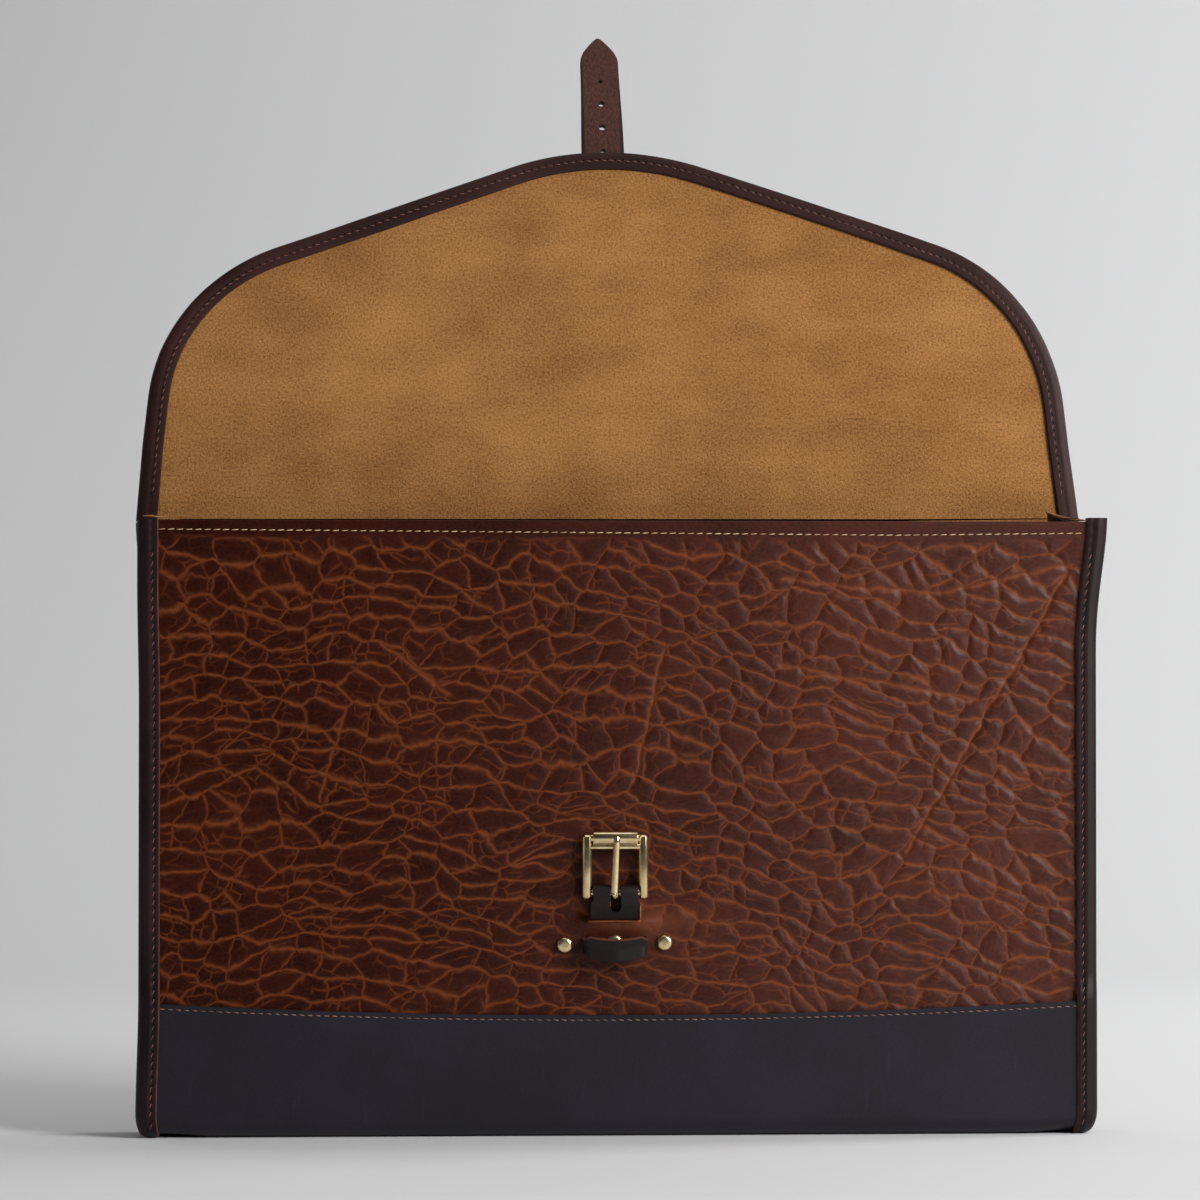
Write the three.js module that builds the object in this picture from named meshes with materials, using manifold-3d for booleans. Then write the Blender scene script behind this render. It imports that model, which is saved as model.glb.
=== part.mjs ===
// Leather document case: open at the top, with pleated gussets, bound seams and a lined flap
// that stands up. A strap on the flap closes on a roller buckle on the front.
// Millimetres, +Z up, front toward -Y. The origin is the middle of the base's underside.

import * as THREE from 'three';
import { mergeVertices } from 'three/addons/utils/BufferGeometryUtils.js';
import Module from 'manifold-3d';

const wasm = await Module();
wasm.setup();

// Case
const caseWidth = 406; // over the bindings
const caseHeight = 260; // floor to the front's top edge, and to the line where the flap starts
const caseDepth = 36; // front face to back face of the hide
const baseBend = 6; // radius between the walls and the base
const cornerTuck = 5; // how far the sides draw in where they turn under

// Leather
const hide = 2;
const bandThickness = 1.6;
const gussetThickness = 1.2;
const liningThickness = 1;
const bindingThickness = 1.3;
const fit = 0.25; // between two leathers that lie together

// Base band, higher at the ends than in the middle
const bandHeight = 56.7;
const bandDip = 5.6;

// Gussets
const pleatDepth = 16; // at the top, dying out above the base
const pleatRise = 5; // how far the fold stands above the front's top edge

// Bindings
const bindingWidth = 9; // shown on each face
const edgeInset = 3.6; // from the binding's edge to the leather inside it

// Flap
const flapLength = 164; // back's top line to the point
const flapSlope = 20.2; // degrees, from the point down to the shoulders
const shoulderWidth = 384; // where the sides and slopes would meet
const shoulderRadius = 85.5;
const pointRadius = 180;
const flapLean = [
  { share: 0.06, lean: 3 },
  { share: 0.34, lean: 10 },
  { share: 0.6, lean: 22 },
];

// Lining
const liningGap = 16; // from the base up to its lower edge, inside the back

// Strap
const closureX = -2.5; // strap and buckle sit a little left of the middle
const strapWidth = 18.6;
const strapTipWidth = 16.6;
const strapThickness = 2.8;
const strapFree = 71; // beyond the flap's point
const strapSewn = 46; // on the flap
const strapLean = 20; // degrees more, by its tip
const strapPoint = 14.5; // length of the pointed end
const strapHole = 3.2;
const firstHole = 5.8; // beyond the flap's point
const strapHolePitch = 12.7;
const strapHoles = 4;
const tipTable = [
  { along: 0.18, width: 0.92 },
  { along: 0.36, width: 0.81 },
  { along: 0.55, width: 0.62 },
  { along: 0.74, width: 0.41 },
  { along: 0.9, width: 0.2 },
  { along: 1, width: 0.06 },
];

// Buckle
const buckleInner = 19.6; // between the side bars
const buckleBar = 4.1; // width of a side bar
const buckleDepth = 4;
const buckleSpan = 23; // heel bar to roller bar
const buckleEnd = 2.8; // side bar beyond each cross bar
const heelHeight = 102.7; // heel bar above the floor
const heelBar = 3.2;
const rollerBar = 3.4;
const rollerDiameter = 6.4;
const running = 0.3; // clearance of moving parts
const tongueWidth = 3.2;
const tongueWall = 1.5;

// Buckle strap, folded round the heel bar
const chapeWidth = 21;
const chapeThickness = 1.6;
const slitDrop = 12.3; // heel bar down to the middle of its slit
const slotDrop = 8.4; // heel bar down to the end of the tongue's slot
const tailLength = 12.4; // behind the panel, from the slit down

// Keeper and rivets
const keeperWidth = 26.6;
const keeperHeight = 9;
const keeperDrop = 9.8; // slit down to the middle of the keeper
const keeperArch = 6.5; // clear height under the loop
const keeperDroop = 2.2;
const keeperThickness = 1.6;
const rivetSpacing = 42.2;
const rivetHead = 6.9;
const rivetDome = 1.7;
const rivetShank = 3;
const centreRivetDrop = 6.3; // slit down to the rivet of the buckle strap's tails

const { degToRad, smoothstep, lerp } = THREE.MathUtils;
const half = caseWidth / 2;
const face = -caseDepth / 2;
const panelBack = face + hide;
const baseLevel = bandThickness + fit;
const endLift = bindingThickness + fit;
const slitHeight = heelHeight - slitDrop;
const keeperLevel = slitHeight - keeperDrop;
const gussetRoot = bindingWidth + 2 * fit; // where a gusset leaves its seam, clear of the binding

// A route in the side plane, made of moves that are straight or turn evenly. Its heading is 0
// downward, 90 toward +Y and 180 upward, and the case's outside is on its right.
function along(leg, run) {
  const bend = (leg.turn * run) / leg.length / 2;
  const chord = run * (Math.abs(bend) > 1e-9 ? Math.sin(bend) / bend : 1);
  return {
    s: leg.s + run,
    y: leg.y + chord * Math.sin(leg.angle + bend),
    z: leg.z - chord * Math.cos(leg.angle + bend),
    angle: leg.angle + 2 * bend,
  };
}

function route(y, z, moves) {
  const legs = [];
  let here = { s: 0, y, z, angle: 0 };
  for (const { length, turn } of moves) {
    const leg = { ...here, length, turn: degToRad(turn) };
    legs.push(leg);
    here = along(leg, length);
  }
  const at = (s) => {
    const leg = legs.findLast((candidate) => candidate.s <= s) ?? legs[0];
    return along(leg, s - leg.s);
  };
  return { at, starts: [...legs.map((leg) => leg.s), here.s] };
}

// The hide's outer face: down the front, under, up the back, then the flap and the strap
const quarter = (baseBend * Math.PI) / 2;
const wall = caseHeight - baseLevel - baseBend;
const leanTurns = flapLean.map(({ share, lean }, i) => ({
  length: share * flapLength,
  turn: (i > 0 ? flapLean[i - 1].lean : 0) - lean,
}));
const skin = route(face, caseHeight, [
  { length: wall, turn: 0 },
  { length: quarter, turn: 90 },
  { length: caseDepth - 2 * baseBend, turn: 0 },
  { length: quarter, turn: 90 },
  { length: wall, turn: 0 },
  ...leanTurns,
  { length: strapFree, turn: -strapLean },
]);
const [, frontBend, baseStart, backBend, backStart, flapStart] = skin.starts;
const flapEnd = flapStart + flapLength;

// The base touches the floor between its bound ends, which ride up by the binding under them
function lift(x, z) {
  const toEnd = smoothstep(Math.abs(x), half - 34, half - 11);
  const low = 1 - smoothstep(z, baseBend, baseBend + 30);
  return endLift * toEnd * low;
}

// Point at x, at length s along the skin and a distance out from it
function place(x, s, out) {
  const p = skin.at(s);
  const y = p.y - out * Math.cos(p.angle);
  const z = p.z - out * Math.sin(p.angle);
  return new THREE.Vector3(x, y, z + lift(x, z));
}

// Half width of the case over the bindings
function edge(s) {
  const turnIn = smoothstep(s, frontBend - 8, frontBend + quarter);
  const turnOut = smoothstep(s, backBend, backBend + quarter + 8);
  return half - cornerTuck * (turnIn - turnOut);
}

// Closed geometry from points and faces, with its faces turned outward
function solid(points, faces) {
  const flat = new THREE.BufferGeometry().setFromPoints(points);
  flat.setIndex(faces);
  const geometry = mergeVertices(flat, 1e-4);
  const corner = (i) => new THREE.Vector3().fromBufferAttribute(geometry.attributes.position, i);
  const kept = [];
  let volume = 0;
  for (let i = 0; i < geometry.index.count; i += 3) {
    const [a, b, c] = [0, 1, 2].map((k) => geometry.index.getX(i + k));
    if (a === b || b === c || c === a) continue;
    kept.push(a, b, c);
    volume += corner(a).dot(corner(b).cross(corner(c)));
  }
  geometry.setIndex(volume > 0 ? kept : kept.reverse());
  return geometry;
}

// Body between two grids of points. A sewn one has its last row joined to itself.
function shell(top, bottom, sewn = false) {
  const rows = top.length;
  const columns = top[0].length;
  const points = [...top.flat(), ...bottom.flat()];
  const id = (side, i, j) => (side * rows + i) * columns + j;
  const faces = [];
  const quad = (a, b, c, d) => faces.push(a, b, c, a, c, d);
  for (let i = 0; i < rows - 1; i += 1) {
    for (let j = 0; j < columns - 1; j += 1) {
      quad(id(0, i, j), id(0, i, j + 1), id(0, i + 1, j + 1), id(0, i + 1, j));
      quad(id(1, i, j), id(1, i + 1, j), id(1, i + 1, j + 1), id(1, i, j + 1));
    }
    quad(id(0, i, 0), id(0, i + 1, 0), id(1, i + 1, 0), id(1, i, 0));
    const last = columns - 1;
    quad(id(0, i, last), id(1, i, last), id(1, i + 1, last), id(0, i + 1, last));
  }
  for (let j = 0; j < columns - 1; j += 1) {
    quad(id(0, 0, j), id(1, 0, j), id(1, 0, j + 1), id(0, 0, j + 1));
    const end = rows - 1;
    if (!sewn) quad(id(0, end, j), id(0, end, j + 1), id(1, end, j + 1), id(1, end, j));
  }
  return solid(points, faces);
}

// Body through rings of equal count, capped at both ends
function loft(rings) {
  const count = rings[0].length;
  const faces = [];
  for (let i = 0; i < rings.length - 1; i += 1) {
    for (let j = 0; j < count; j += 1) {
      const [a, b] = [i * count + j, i * count + ((j + 1) % count)];
      faces.push(a, b, b + count, a, b + count, a + count);
    }
  }
  return { points: rings.flat(), faces, count };
}

function capped(rings, outline) {
  const { points, faces, count } = loft(rings);
  const last = (rings.length - 1) * count;
  for (const [a, b, c] of THREE.ShapeUtils.triangulateShape(outline, [])) {
    const out = THREE.ShapeUtils.isClockWise(outline) ? [a, b, c] : [c, b, a];
    faces.push(...out);
    faces.push(...out.map((k) => last + k).reverse());
  }
  return solid(points, faces);
}

// Line through corners, each rounded by its radius, with the normal on its right
function rounded(corners, arcStep = 12) {
  const line = [];
  const add = (x, y, angle) => line.push({ x, y, nx: Math.sin(angle), ny: -Math.cos(angle) });
  const heading = (a, b) => Math.atan2(b.y - a.y, b.x - a.x);
  corners.forEach((corner, i) => {
    const before = corners[i - 1];
    const after = corners[i + 1];
    if (!before || !after) {
      add(corner.x, corner.y, before ? heading(before, corner) : heading(corner, after));
      return;
    }
    const start = heading(before, corner);
    let turn = heading(corner, after) - start;
    turn -= 2 * Math.PI * Math.round(turn / (2 * Math.PI));
    const side = Math.sign(turn);
    const run = corner.radius * Math.tan(Math.abs(turn) / 2);
    const centreX = corner.x - run * Math.cos(start) - side * corner.radius * Math.sin(start);
    const centreY = corner.y - run * Math.sin(start) + side * corner.radius * Math.cos(start);
    const steps = Math.max(2 * Math.ceil(Math.abs(turn) / degToRad(arcStep) / 2), 1);
    for (let k = 0; k <= steps; k += 1) {
      const angle = start + (turn * k) / steps;
      const x = centreX + side * corner.radius * Math.sin(angle);
      const y = centreY - side * corner.radius * Math.cos(angle);
      add(x, y, angle);
    }
  });
  return line;
}

// Strip of even thickness along a line, across a width, with each point set by at(a, b, across)
function strip(corners, thickness, width, at, arcStep = 22) {
  const line = rounded(corners, arcStep);
  const skinOf = (side) => line.map(({ x, y, nx, ny }) => [-0.5, 0.5].map((across) => {
    const shift = (side * thickness) / 2;
    return at(x + nx * shift, y + ny * shift, across * width);
  }));
  return shell(skinOf(1), skinOf(-1));
}

function toManifold(geometry) {
  const bare = new THREE.BufferGeometry().setAttribute('position', geometry.attributes.position);
  if (geometry.index) bare.setIndex(geometry.index);
  const welded = mergeVertices(bare, 1e-4);
  return new wasm.Manifold(new wasm.Mesh({
    numProp: 3,
    vertProperties: new Float32Array(welded.attributes.position.array),
    triVerts: new Uint32Array(welded.index.array),
  }));
}

function fromManifold(body) {
  const { vertProperties, triVerts } = body.getMesh();
  const geometry = new THREE.BufferGeometry();
  geometry.setAttribute('position', new THREE.BufferAttribute(vertProperties, 3));
  geometry.setIndex([...triVerts]);
  return geometry;
}

function cut(geometry, tools) {
  const less = (body, tool) => body.subtract(toManifold(tool));
  return fromManifold(tools.reduce(less, toManifold(geometry)));
}

function join(geometries) {
  const [first, ...others] = geometries.map(toManifold);
  return fromManifold(others.reduce((body, other) => body.add(other), first));
}

const box = (x, y, z, at) => new THREE.BoxGeometry(x, y, z).translate(...at);

// Pin along Y through a point of the front, or along X or Z when turned
const pinY = (diameter, length, at) =>
  new THREE.CylinderGeometry(diameter / 2, diameter / 2, length, 20).translate(...at);
const pinX = (diameter, length, at) =>
  new THREE.CylinderGeometry(diameter / 2, diameter / 2, length, 24)
    .rotateZ(Math.PI / 2)
    .translate(...at);

// Columns across the case, closer where the base's ends rise
const rising = [-1, -0.97, -0.93, -0.88, -0.83, -0.45, 0, 0.45, 0.83, 0.88, 0.93, 0.97, 1];
const even = [-1, -0.5, 0, 0.5, 1];

const arcRows = (start, length, count) =>
  Array.from({ length: count + 1 }, (_, k) => start + (length * k) / count);

// Leather between two distances from the skin, over rows of half width and length along it
function sheet(rows, outer, inner, columns = rising) {
  const grid = (out) => rows.map(({ s, width, dip = 0 }) =>
    columns.map((u) => place(u * width, s + dip * (1 - u * u), out)));
  return shell(grid(outer), grid(inner));
}

// Flap edge, from its right base over the point to its left base: x and length along the skin
const slope = Math.tan(degToRad(flapSlope));
const peak = flapLength + pointRadius * (1 / Math.cos(degToRad(flapSlope)) - 1);
const shoulderRun = peak - (slope * shoulderWidth) / 2;
const flapEdge = rounded([
  { x: half, y: 0 },
  { x: shoulderWidth / 2, y: shoulderRun, radius: shoulderRadius },
  { x: 0, y: peak, radius: pointRadius },
  { x: -shoulderWidth / 2, y: shoulderRun, radius: shoulderRadius },
  { x: -half, y: 0 },
], 9);

// Rows of the flap inside its edge, the lowest stretch in more rows for the bend
function flapRows(inset) {
  const right = flapEdge.filter(({ x, y }) => x > 1 && y > 0);
  const rim = right.map(({ x, y, nx, ny }) => ({ x: x - inset * nx, y: y - inset * ny }));
  const first = rim[0];
  const low = arcRows(0, first.y, 6).slice(1, -1).map((y) => ({
    x: lerp(half - inset, first.x, y / first.y),
    y,
  }));
  const tip = { x: 4, y: flapLength - inset };
  return [...low, ...rim.filter(({ x, y }) => x > 8 && y < tip.y), tip]
    .map(({ x, y }) => ({ s: flapStart + y, width: x }));
}

const bodyRow = (inset) => (s) => ({ s, width: edge(s) - inset });

const chapeSlit = chapeThickness * 2 + fit * 3;
const keeperX = keeperWidth / 2 - keeperThickness / 2;
const rivets = [
  { name: 'rivet_left', x: closureX - rivetSpacing / 2, z: keeperLevel, tails: keeperThickness + fit },
  { name: 'rivet_right', x: closureX + rivetSpacing / 2, z: keeperLevel, tails: keeperThickness + fit },
  { name: 'rivet_centre', x: closureX, z: slitHeight - centreRivetDrop, tails: 2 * (chapeThickness + fit) },
];
const rivetHoles = rivets.map(({ x, z }) => pinY(rivetShank + 2 * fit, 3 * caseDepth, [x, face, z]));

const frontEnd = frontBend - 6; // front panel's lower edge, behind the band

function frontPanel() {
  const rows = [0, (frontEnd * 2) / 3, frontEnd - 10, frontEnd].map(bodyRow(edgeInset));
  const slits = [
    box(chapeWidth + 4 * fit, 8, chapeSlit, [closureX, face, slitHeight]),
    ...[-1, 1].map((side) => box(
      keeperThickness + 2 * fit,
      8,
      keeperHeight + 2 * fit,
      [closureX + side * keeperX, face, keeperLevel],
    )),
  ];
  return cut(sheet(rows, 0, -hide), [...slits, ...rivetHoles]);
}

function backPanel() {
  const rows = [
    frontEnd + 2 * fit,
    ...arcRows(frontBend, quarter, 5),
    ...arcRows(backBend, quarter, 5),
    ...arcRows(backStart, wall, 6).slice(1),
  ].map(bodyRow(edgeInset));
  return sheet([...rows, ...flapRows(edgeInset)], 0, -hide);
}

// The lining is narrower inside the case, where it passes between the gussets
function flapLining() {
  const inside = gussetRoot + gussetThickness + 6 * fit;
  const rows = [backStart + liningGap, flapStart + 1].map(bodyRow(inside));
  const outer = -hide - fit;
  return sheet([...rows, ...flapRows(edgeInset)], outer, outer - liningThickness, even);
}

function baseBand() {
  const top = frontBend + baseBend + baseLevel - bandHeight;
  const back = backStart - baseBend - baseLevel + bandHeight;
  const rows = [
    { ...bodyRow(edgeInset)(top), dip: bandDip },
    ...[frontBend - 26, frontBend - 8, ...arcRows(frontBend, quarter, 5)].map(bodyRow(edgeInset)),
    ...[...arcRows(backBend, quarter, 5), backStart + 8, backStart + 26].map(bodyRow(edgeInset)),
    { ...bodyRow(edgeInset)(back), dip: -bandDip },
  ];
  return sheet(rows, fit + bandThickness, fit);
}

// Gusset: a flange along the seam, a root clear of the binding, and walls that meet in a fold
function gusset(side) {
  const heights = [0, 0.24, 0.52, 0.76, 0.92].map((share) => share * wall);
  const stations = [
    ...heights,
    ...arcRows(frontBend, quarter, 4),
    (baseStart + backBend) / 2,
    ...arcRows(backBend, quarter, 4),
    ...heights.map((s) => flapStart - s).reverse(),
  ];
  const fold = caseDepth / 2 + baseLevel;
  const under = hide + fit;
  const toFold = ({ y, z }, share) => {
    const rise = smoothstep(z, fold + 10, caseHeight);
    const foldZ = Math.max(z, fold) + pleatRise * smoothstep(z, 0.77 * caseHeight, caseHeight);
    const foldX = half - gussetRoot - cornerTuck / 2 - pleatDepth * rise;
    return { foldX, foldZ, y: lerp(y, 0, share), z: lerp(z, foldZ, share) };
  };
  const skinOf = (inner) => {
    const thick = inner ? gussetThickness : 0;
    const depth = inner ? under : under + gussetThickness;
    const point = (s, inset, out) => place(side * (edge(s) - inset), s, out);
    const seam = [edgeInset, gussetRoot + thick].map((inset) =>
      stations.map((s) => point(s, inset, -depth)));
    const starts = stations.map((s) => point(s, gussetRoot + thick, -under - gussetThickness - 2));
    const rows = [0.5, 1].map((share) => stations.map((s, i) => {
      const start = starts[i];
      const { foldX, y, z } = toFold(start, share);
      const thin = inner ? gussetThickness * 1.25 * share + gussetThickness * (1 - share) : 0;
      const outerX = lerp(edge(s) - gussetRoot, foldX, share);
      return new THREE.Vector3(side * (outerX - thin), y, z);
    }));
    return [...seam, starts, ...rows];
  };
  return shell(skinOf(false), skinOf(true), true);
}

// Folded strip over an edge: leg, round edge, leg, at given distances out and in from the skin
function foldSection(out, inward) {
  const radius = (out + inward) / 2;
  const middle = (out - inward) / 2;
  const centre = radius + bindingThickness;
  const arc = (r) => arcRows(-Math.PI / 2, Math.PI, 6).map((angle) => ({
    inset: centre - r * Math.cos(angle),
    out: middle - r * Math.sin(angle),
  }));
  const legs = [{ inset: bindingWidth, out }, { inset: bindingWidth, out: out + bindingThickness }];
  const inner = [
    { inset: bindingWidth, out: -inward - bindingThickness },
    { inset: bindingWidth, out: -inward },
  ];
  return [...legs, ...arc(centre), ...inner, ...arc(radius).reverse()];
}

function binding(stations) {
  const sections = stations.map(({ x, s, nx, ns, out, inward }) =>
    foldSection(out, inward).map((p) => place(x - p.inset * nx, s - p.inset * ns, p.out)));
  const { out, inward } = stations[0];
  const outline = foldSection(out, inward).map((p) => new THREE.Vector2(p.inset, p.out));
  return capped(sections, outline);
}

function edgeBinding(side) {
  const bandTop = frontBend + baseBend + baseLevel - bandHeight;
  const bandBack = backStart - baseBend - baseLevel + bandHeight;
  const overBand = (s) => smoothstep(s, bandTop - 12, bandTop) - smoothstep(s, bandBack, bandBack + 12);
  const stations = [
    0,
    ...arcRows(bandTop - 12, 12, 4),
    frontBend - 8,
    ...arcRows(frontBend, quarter, 5),
    ...arcRows(backBend, quarter, 5),
    backStart + 8,
    ...arcRows(bandBack, 12, 4),
    flapStart - fit,
  ].map((s) => ({
    x: side * edge(s),
    s,
    nx: side,
    ns: 0,
    out: fit + (bandThickness + fit) * overBand(s),
    inward: hide + gussetThickness + 2 * fit,
  }));
  return binding(stations);
}

function flapBinding() {
  const inward = hide + liningThickness + 2 * fit;
  const low = arcRows(0, 1, 5).slice(1, -1);
  const [first, second] = flapEdge;
  const between = (share) => ({ ...second, x: lerp(first.x, second.x, share), y: second.y * share });
  const right = [{ ...first, y: fit, nx: 1, ny: 0 }, ...low.map(between)];
  const left = right.map(({ x, y, nx, ny }) => ({ x: -x, y, nx: -nx, ny })).reverse();
  const stations = [...right, ...flapEdge.slice(1, -1), ...left].map(({ x, y, nx, ny }) => ({
    x,
    s: flapStart + y,
    nx,
    ns: ny,
    out: fit,
    inward,
  }));
  return binding(stations);
}

// Strap: flat on the flap, up over its binding, and free beyond the point
function closureStrap() {
  const start = flapEnd - strapSewn;
  const end = flapEnd + strapFree;
  const onHide = fit;
  const onBinding = 2 * fit + bindingThickness + 0.1;
  const level = (s) => lerp(onHide, onBinding, smoothstep(s, flapEnd - 17, flapEnd - 10));
  const widthAt = (s) => lerp(strapWidth, strapTipWidth, smoothstep(s, flapEnd, end - strapPoint));
  const rows = [
    start,
    flapEnd - 17,
    flapEnd - 13.5,
    flapEnd - 10,
    ...arcRows(flapEnd, strapFree - strapPoint, 5),
  ].map((s) => ({ s, width: widthAt(s) }));
  tipTable.forEach(({ along: share, width }) => rows.push({
    s: end - strapPoint * (1 - share),
    width: strapTipWidth * width,
  }));
  const grid = (out) => rows.map(({ s, width }) => [-0.5, 0.5].map((across) =>
    place(closureX + across * width, s, level(s) + out)));
  const holes = Array.from({ length: strapHoles }, (_, i) => {
    const { y, z, angle } = skin.at(flapEnd + firstHole + i * strapHolePitch);
    return new THREE.CylinderGeometry(strapHole / 2, strapHole / 2, 16, 16)
      .rotateX(angle)
      .translate(closureX, y, z);
  });
  return cut(shell(grid(strapThickness), grid(0)), holes);
}

// Buckle, seen from the side: everything turns about the heel bar
const barY = face - fit - chapeThickness - running - heelBar / 2;
const rollerZ = heelHeight + buckleSpan;
const buckleMid = heelHeight + buckleSpan / 2;

function buckleChape() {
  const t = chapeThickness;
  const wrap = heelBar / 2 + running + t / 2;
  const tailOne = panelBack + fit + t / 2;
  const tailTwo = tailOne + t + fit;
  const lower = slitHeight - (t + fit) / 2;
  const upper = slitHeight + (t + fit) / 2;
  const tailEnd = slitHeight - tailLength;
  const slotEnd = heelHeight - slotDrop;
  const corners = [
    { x: tailOne, y: tailEnd },
    { x: tailOne, y: lower, radius: 0.9 },
    { x: barY + 0.6, y: lower, radius: 1.4 },
    { x: barY - wrap, y: heelHeight - 4, radius: 8 },
    { x: barY - wrap, y: heelHeight + wrap, radius: wrap },
    { x: barY + wrap, y: heelHeight + wrap, radius: wrap },
    { x: barY + wrap, y: upper, radius: 0.9 },
    { x: tailTwo, y: upper, radius: 0.9 },
    { x: tailTwo, y: tailEnd },
  ];
  const narrow = (buckleInner - 2 * fit) / chapeWidth;
  const barLow = heelHeight - buckleEnd;
  const at = (y, z, across) => {
    const share = lerp(1, narrow, smoothstep(z, barLow - 4, barLow - 1));
    return new THREE.Vector3(closureX + across * share, y, z);
  };
  const slotWidth = tongueWidth + 3 * fit;
  const slotTop = heelHeight + 3 * wrap;
  const slot = [
    box(slotWidth, 20, slotTop - slotEnd, [closureX, barY, (slotTop + slotEnd + slotWidth) / 2]),
    pinY(slotWidth, 20, [closureX, barY, slotEnd + slotWidth / 2]),
  ];
  return cut(strip(corners, t, chapeWidth, at), [...slot, ...rivetHoles]);
}

function buckleFrame() {
  const height = buckleSpan + 2 * buckleEnd;
  const bevel = 0.7;
  const shape = new THREE.Shape();
  const [w, h, r] = [buckleBar / 2 - bevel, height / 2 - bevel, 0.9];
  shape.moveTo(-w + r, -h);
  shape.lineTo(w - r, -h).absarc(w - r, -h + r, r, -Math.PI / 2, 0);
  shape.absarc(w - r, h - r, r, 0, Math.PI / 2);
  shape.absarc(-w + r, h - r, r, Math.PI / 2, Math.PI);
  shape.absarc(-w + r, -h + r, r, Math.PI, Math.PI * 1.5);
  const bar = (side) => new THREE.ExtrudeGeometry(shape, {
    depth: buckleDepth - 2 * bevel,
    bevelThickness: bevel,
    bevelSize: bevel,
    bevelSegments: 2,
    curveSegments: 3,
  })
    .translate(0, 0, bevel - buckleDepth / 2)
    .rotateX(Math.PI / 2)
    .translate(closureX + (side * (buckleInner + buckleBar)) / 2, barY, buckleMid);
  const length = buckleInner + buckleBar;
  return join([
    bar(-1),
    bar(1),
    pinX(heelBar, length, [closureX, barY, heelHeight]),
    pinX(rollerBar, length, [closureX, barY, rollerZ]),
  ]);
}

// Lathed body about an axis along Y, or along X for the roller
function lathe(outline, segments) {
  const points = outline.map(([r, h]) => new THREE.Vector2(r, h));
  return mergeVertices(new THREE.LatheGeometry(points, segments).deleteAttribute('uv')
    .deleteAttribute('normal'), 1e-5);
}

function buckleRoller() {
  const inner = rollerBar / 2 + running;
  const outer = rollerDiameter / 2;
  const end = buckleInner / 2 - fit;
  const lip = 0.5;
  const outline = [
    [inner, -end],
    [outer - lip, -end],
    [outer, -end + lip],
    [outer, end - lip],
    [outer - lip, end],
    [inner, end],
    [inner, -end],
  ];
  return lathe(outline, 24).rotateZ(Math.PI / 2).translate(closureX, barY, rollerZ);
}

function buckleTongue() {
  const bore = heelBar / 2 + running;
  const ring = bore + tongueWall;
  const front = rollerDiameter / 2 + running;
  const tip = buckleSpan + 0.8;
  const shape = new THREE.Shape();
  shape.moveTo(-bore - 0.1, 0);
  shape.lineTo(-front, tip - 2);
  shape.quadraticCurveTo(-front, tip, -front - 1, tip);
  shape.quadraticCurveTo(-front - 2, tip, -front - 2, tip - 2);
  shape.lineTo(-ring, 0);
  const rod = new THREE.ExtrudeGeometry(shape, { depth: tongueWidth, bevelEnabled: false, curveSegments: 4 })
    .translate(0, 0, -tongueWidth / 2);
  const turnUp = new THREE.Matrix4().set(0, 0, 1, 0, 1, 0, 0, 0, 0, 1, 0, 0, 0, 0, 0, 1);
  rod.applyMatrix4(turnUp).translate(closureX, barY, heelHeight);
  const loop = join([
    pinX(2 * ring, tongueWidth, [closureX, barY, heelHeight]),
    rod,
  ]);
  return cut(loop, [pinX(2 * bore, 2 * tongueWidth, [closureX, barY, heelHeight])]);
}

function keeperLoop() {
  const t = keeperThickness;
  const tail = panelBack + fit + t / 2;
  const top = face - keeperArch - t / 2;
  const end = rivetSpacing / 2 + 4.5;
  const corners = [
    { x: -end, y: tail },
    { x: -keeperX, y: tail, radius: 0.9 },
    { x: -keeperX, y: face - 1, radius: 0 },
    { x: -keeperX, y: top, radius: 3.6 },
    { x: keeperX, y: top, radius: 3.6 },
    { x: keeperX, y: face - 1, radius: 0 },
    { x: keeperX, y: tail, radius: 0.9 },
    { x: end, y: tail },
  ];
  const at = (x, y, across) => {
    const sink = keeperDroop * smoothstep(face - y, 1, keeperArch);
    return new THREE.Vector3(closureX + x, y, keeperLevel + across - sink);
  };
  return cut(strip(corners, t, keeperHeight, at, 16), rivetHoles);
}

// Rivet: domed head on the front, shank through the leathers, flat burr behind
function rivet({ x, z, tails }) {
  const back = hide + tails + 2 * fit;
  const head = rivetHead / 2;
  const shank = rivetShank / 2;
  const burr = rivetHead / 2 - 0.4;
  const dome = arcRows(0, Math.PI / 2, 4).map((angle) => [
    head * Math.sin(angle),
    -fit - rivetDome * Math.cos(angle),
  ]);
  const outline = [
    ...dome,
    [shank, -fit],
    [shank, back],
    [burr, back],
    [burr, back + 0.8],
    [0, back + 0.8],
  ];
  return lathe(outline, 20).translate(x, face, z);
}

const leather = (color, roughness) => ({ color, roughness, metalness: 0 });
const grain = leather('#5a2a1c', 0.5);
const smoothLeather = leather('#2b272d', 0.5);
const bindingLeather = leather('#3c2a2a', 0.5);
const suede = leather('#9a6a3b', 0.95);
const strapLeather = leather('#4b302a', 0.6);
const brass = { color: '#c9a765', roughness: 0.22, metalness: 1 };

const documentCase = new THREE.Group();

function add(name, geometry, material) {
  const flat = geometry.index ? geometry.toNonIndexed() : geometry;
  flat.computeVertexNormals();
  const mesh = new THREE.Mesh(flat, new THREE.MeshStandardMaterial(material));
  mesh.name = name;
  documentCase.add(mesh);
}

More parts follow.
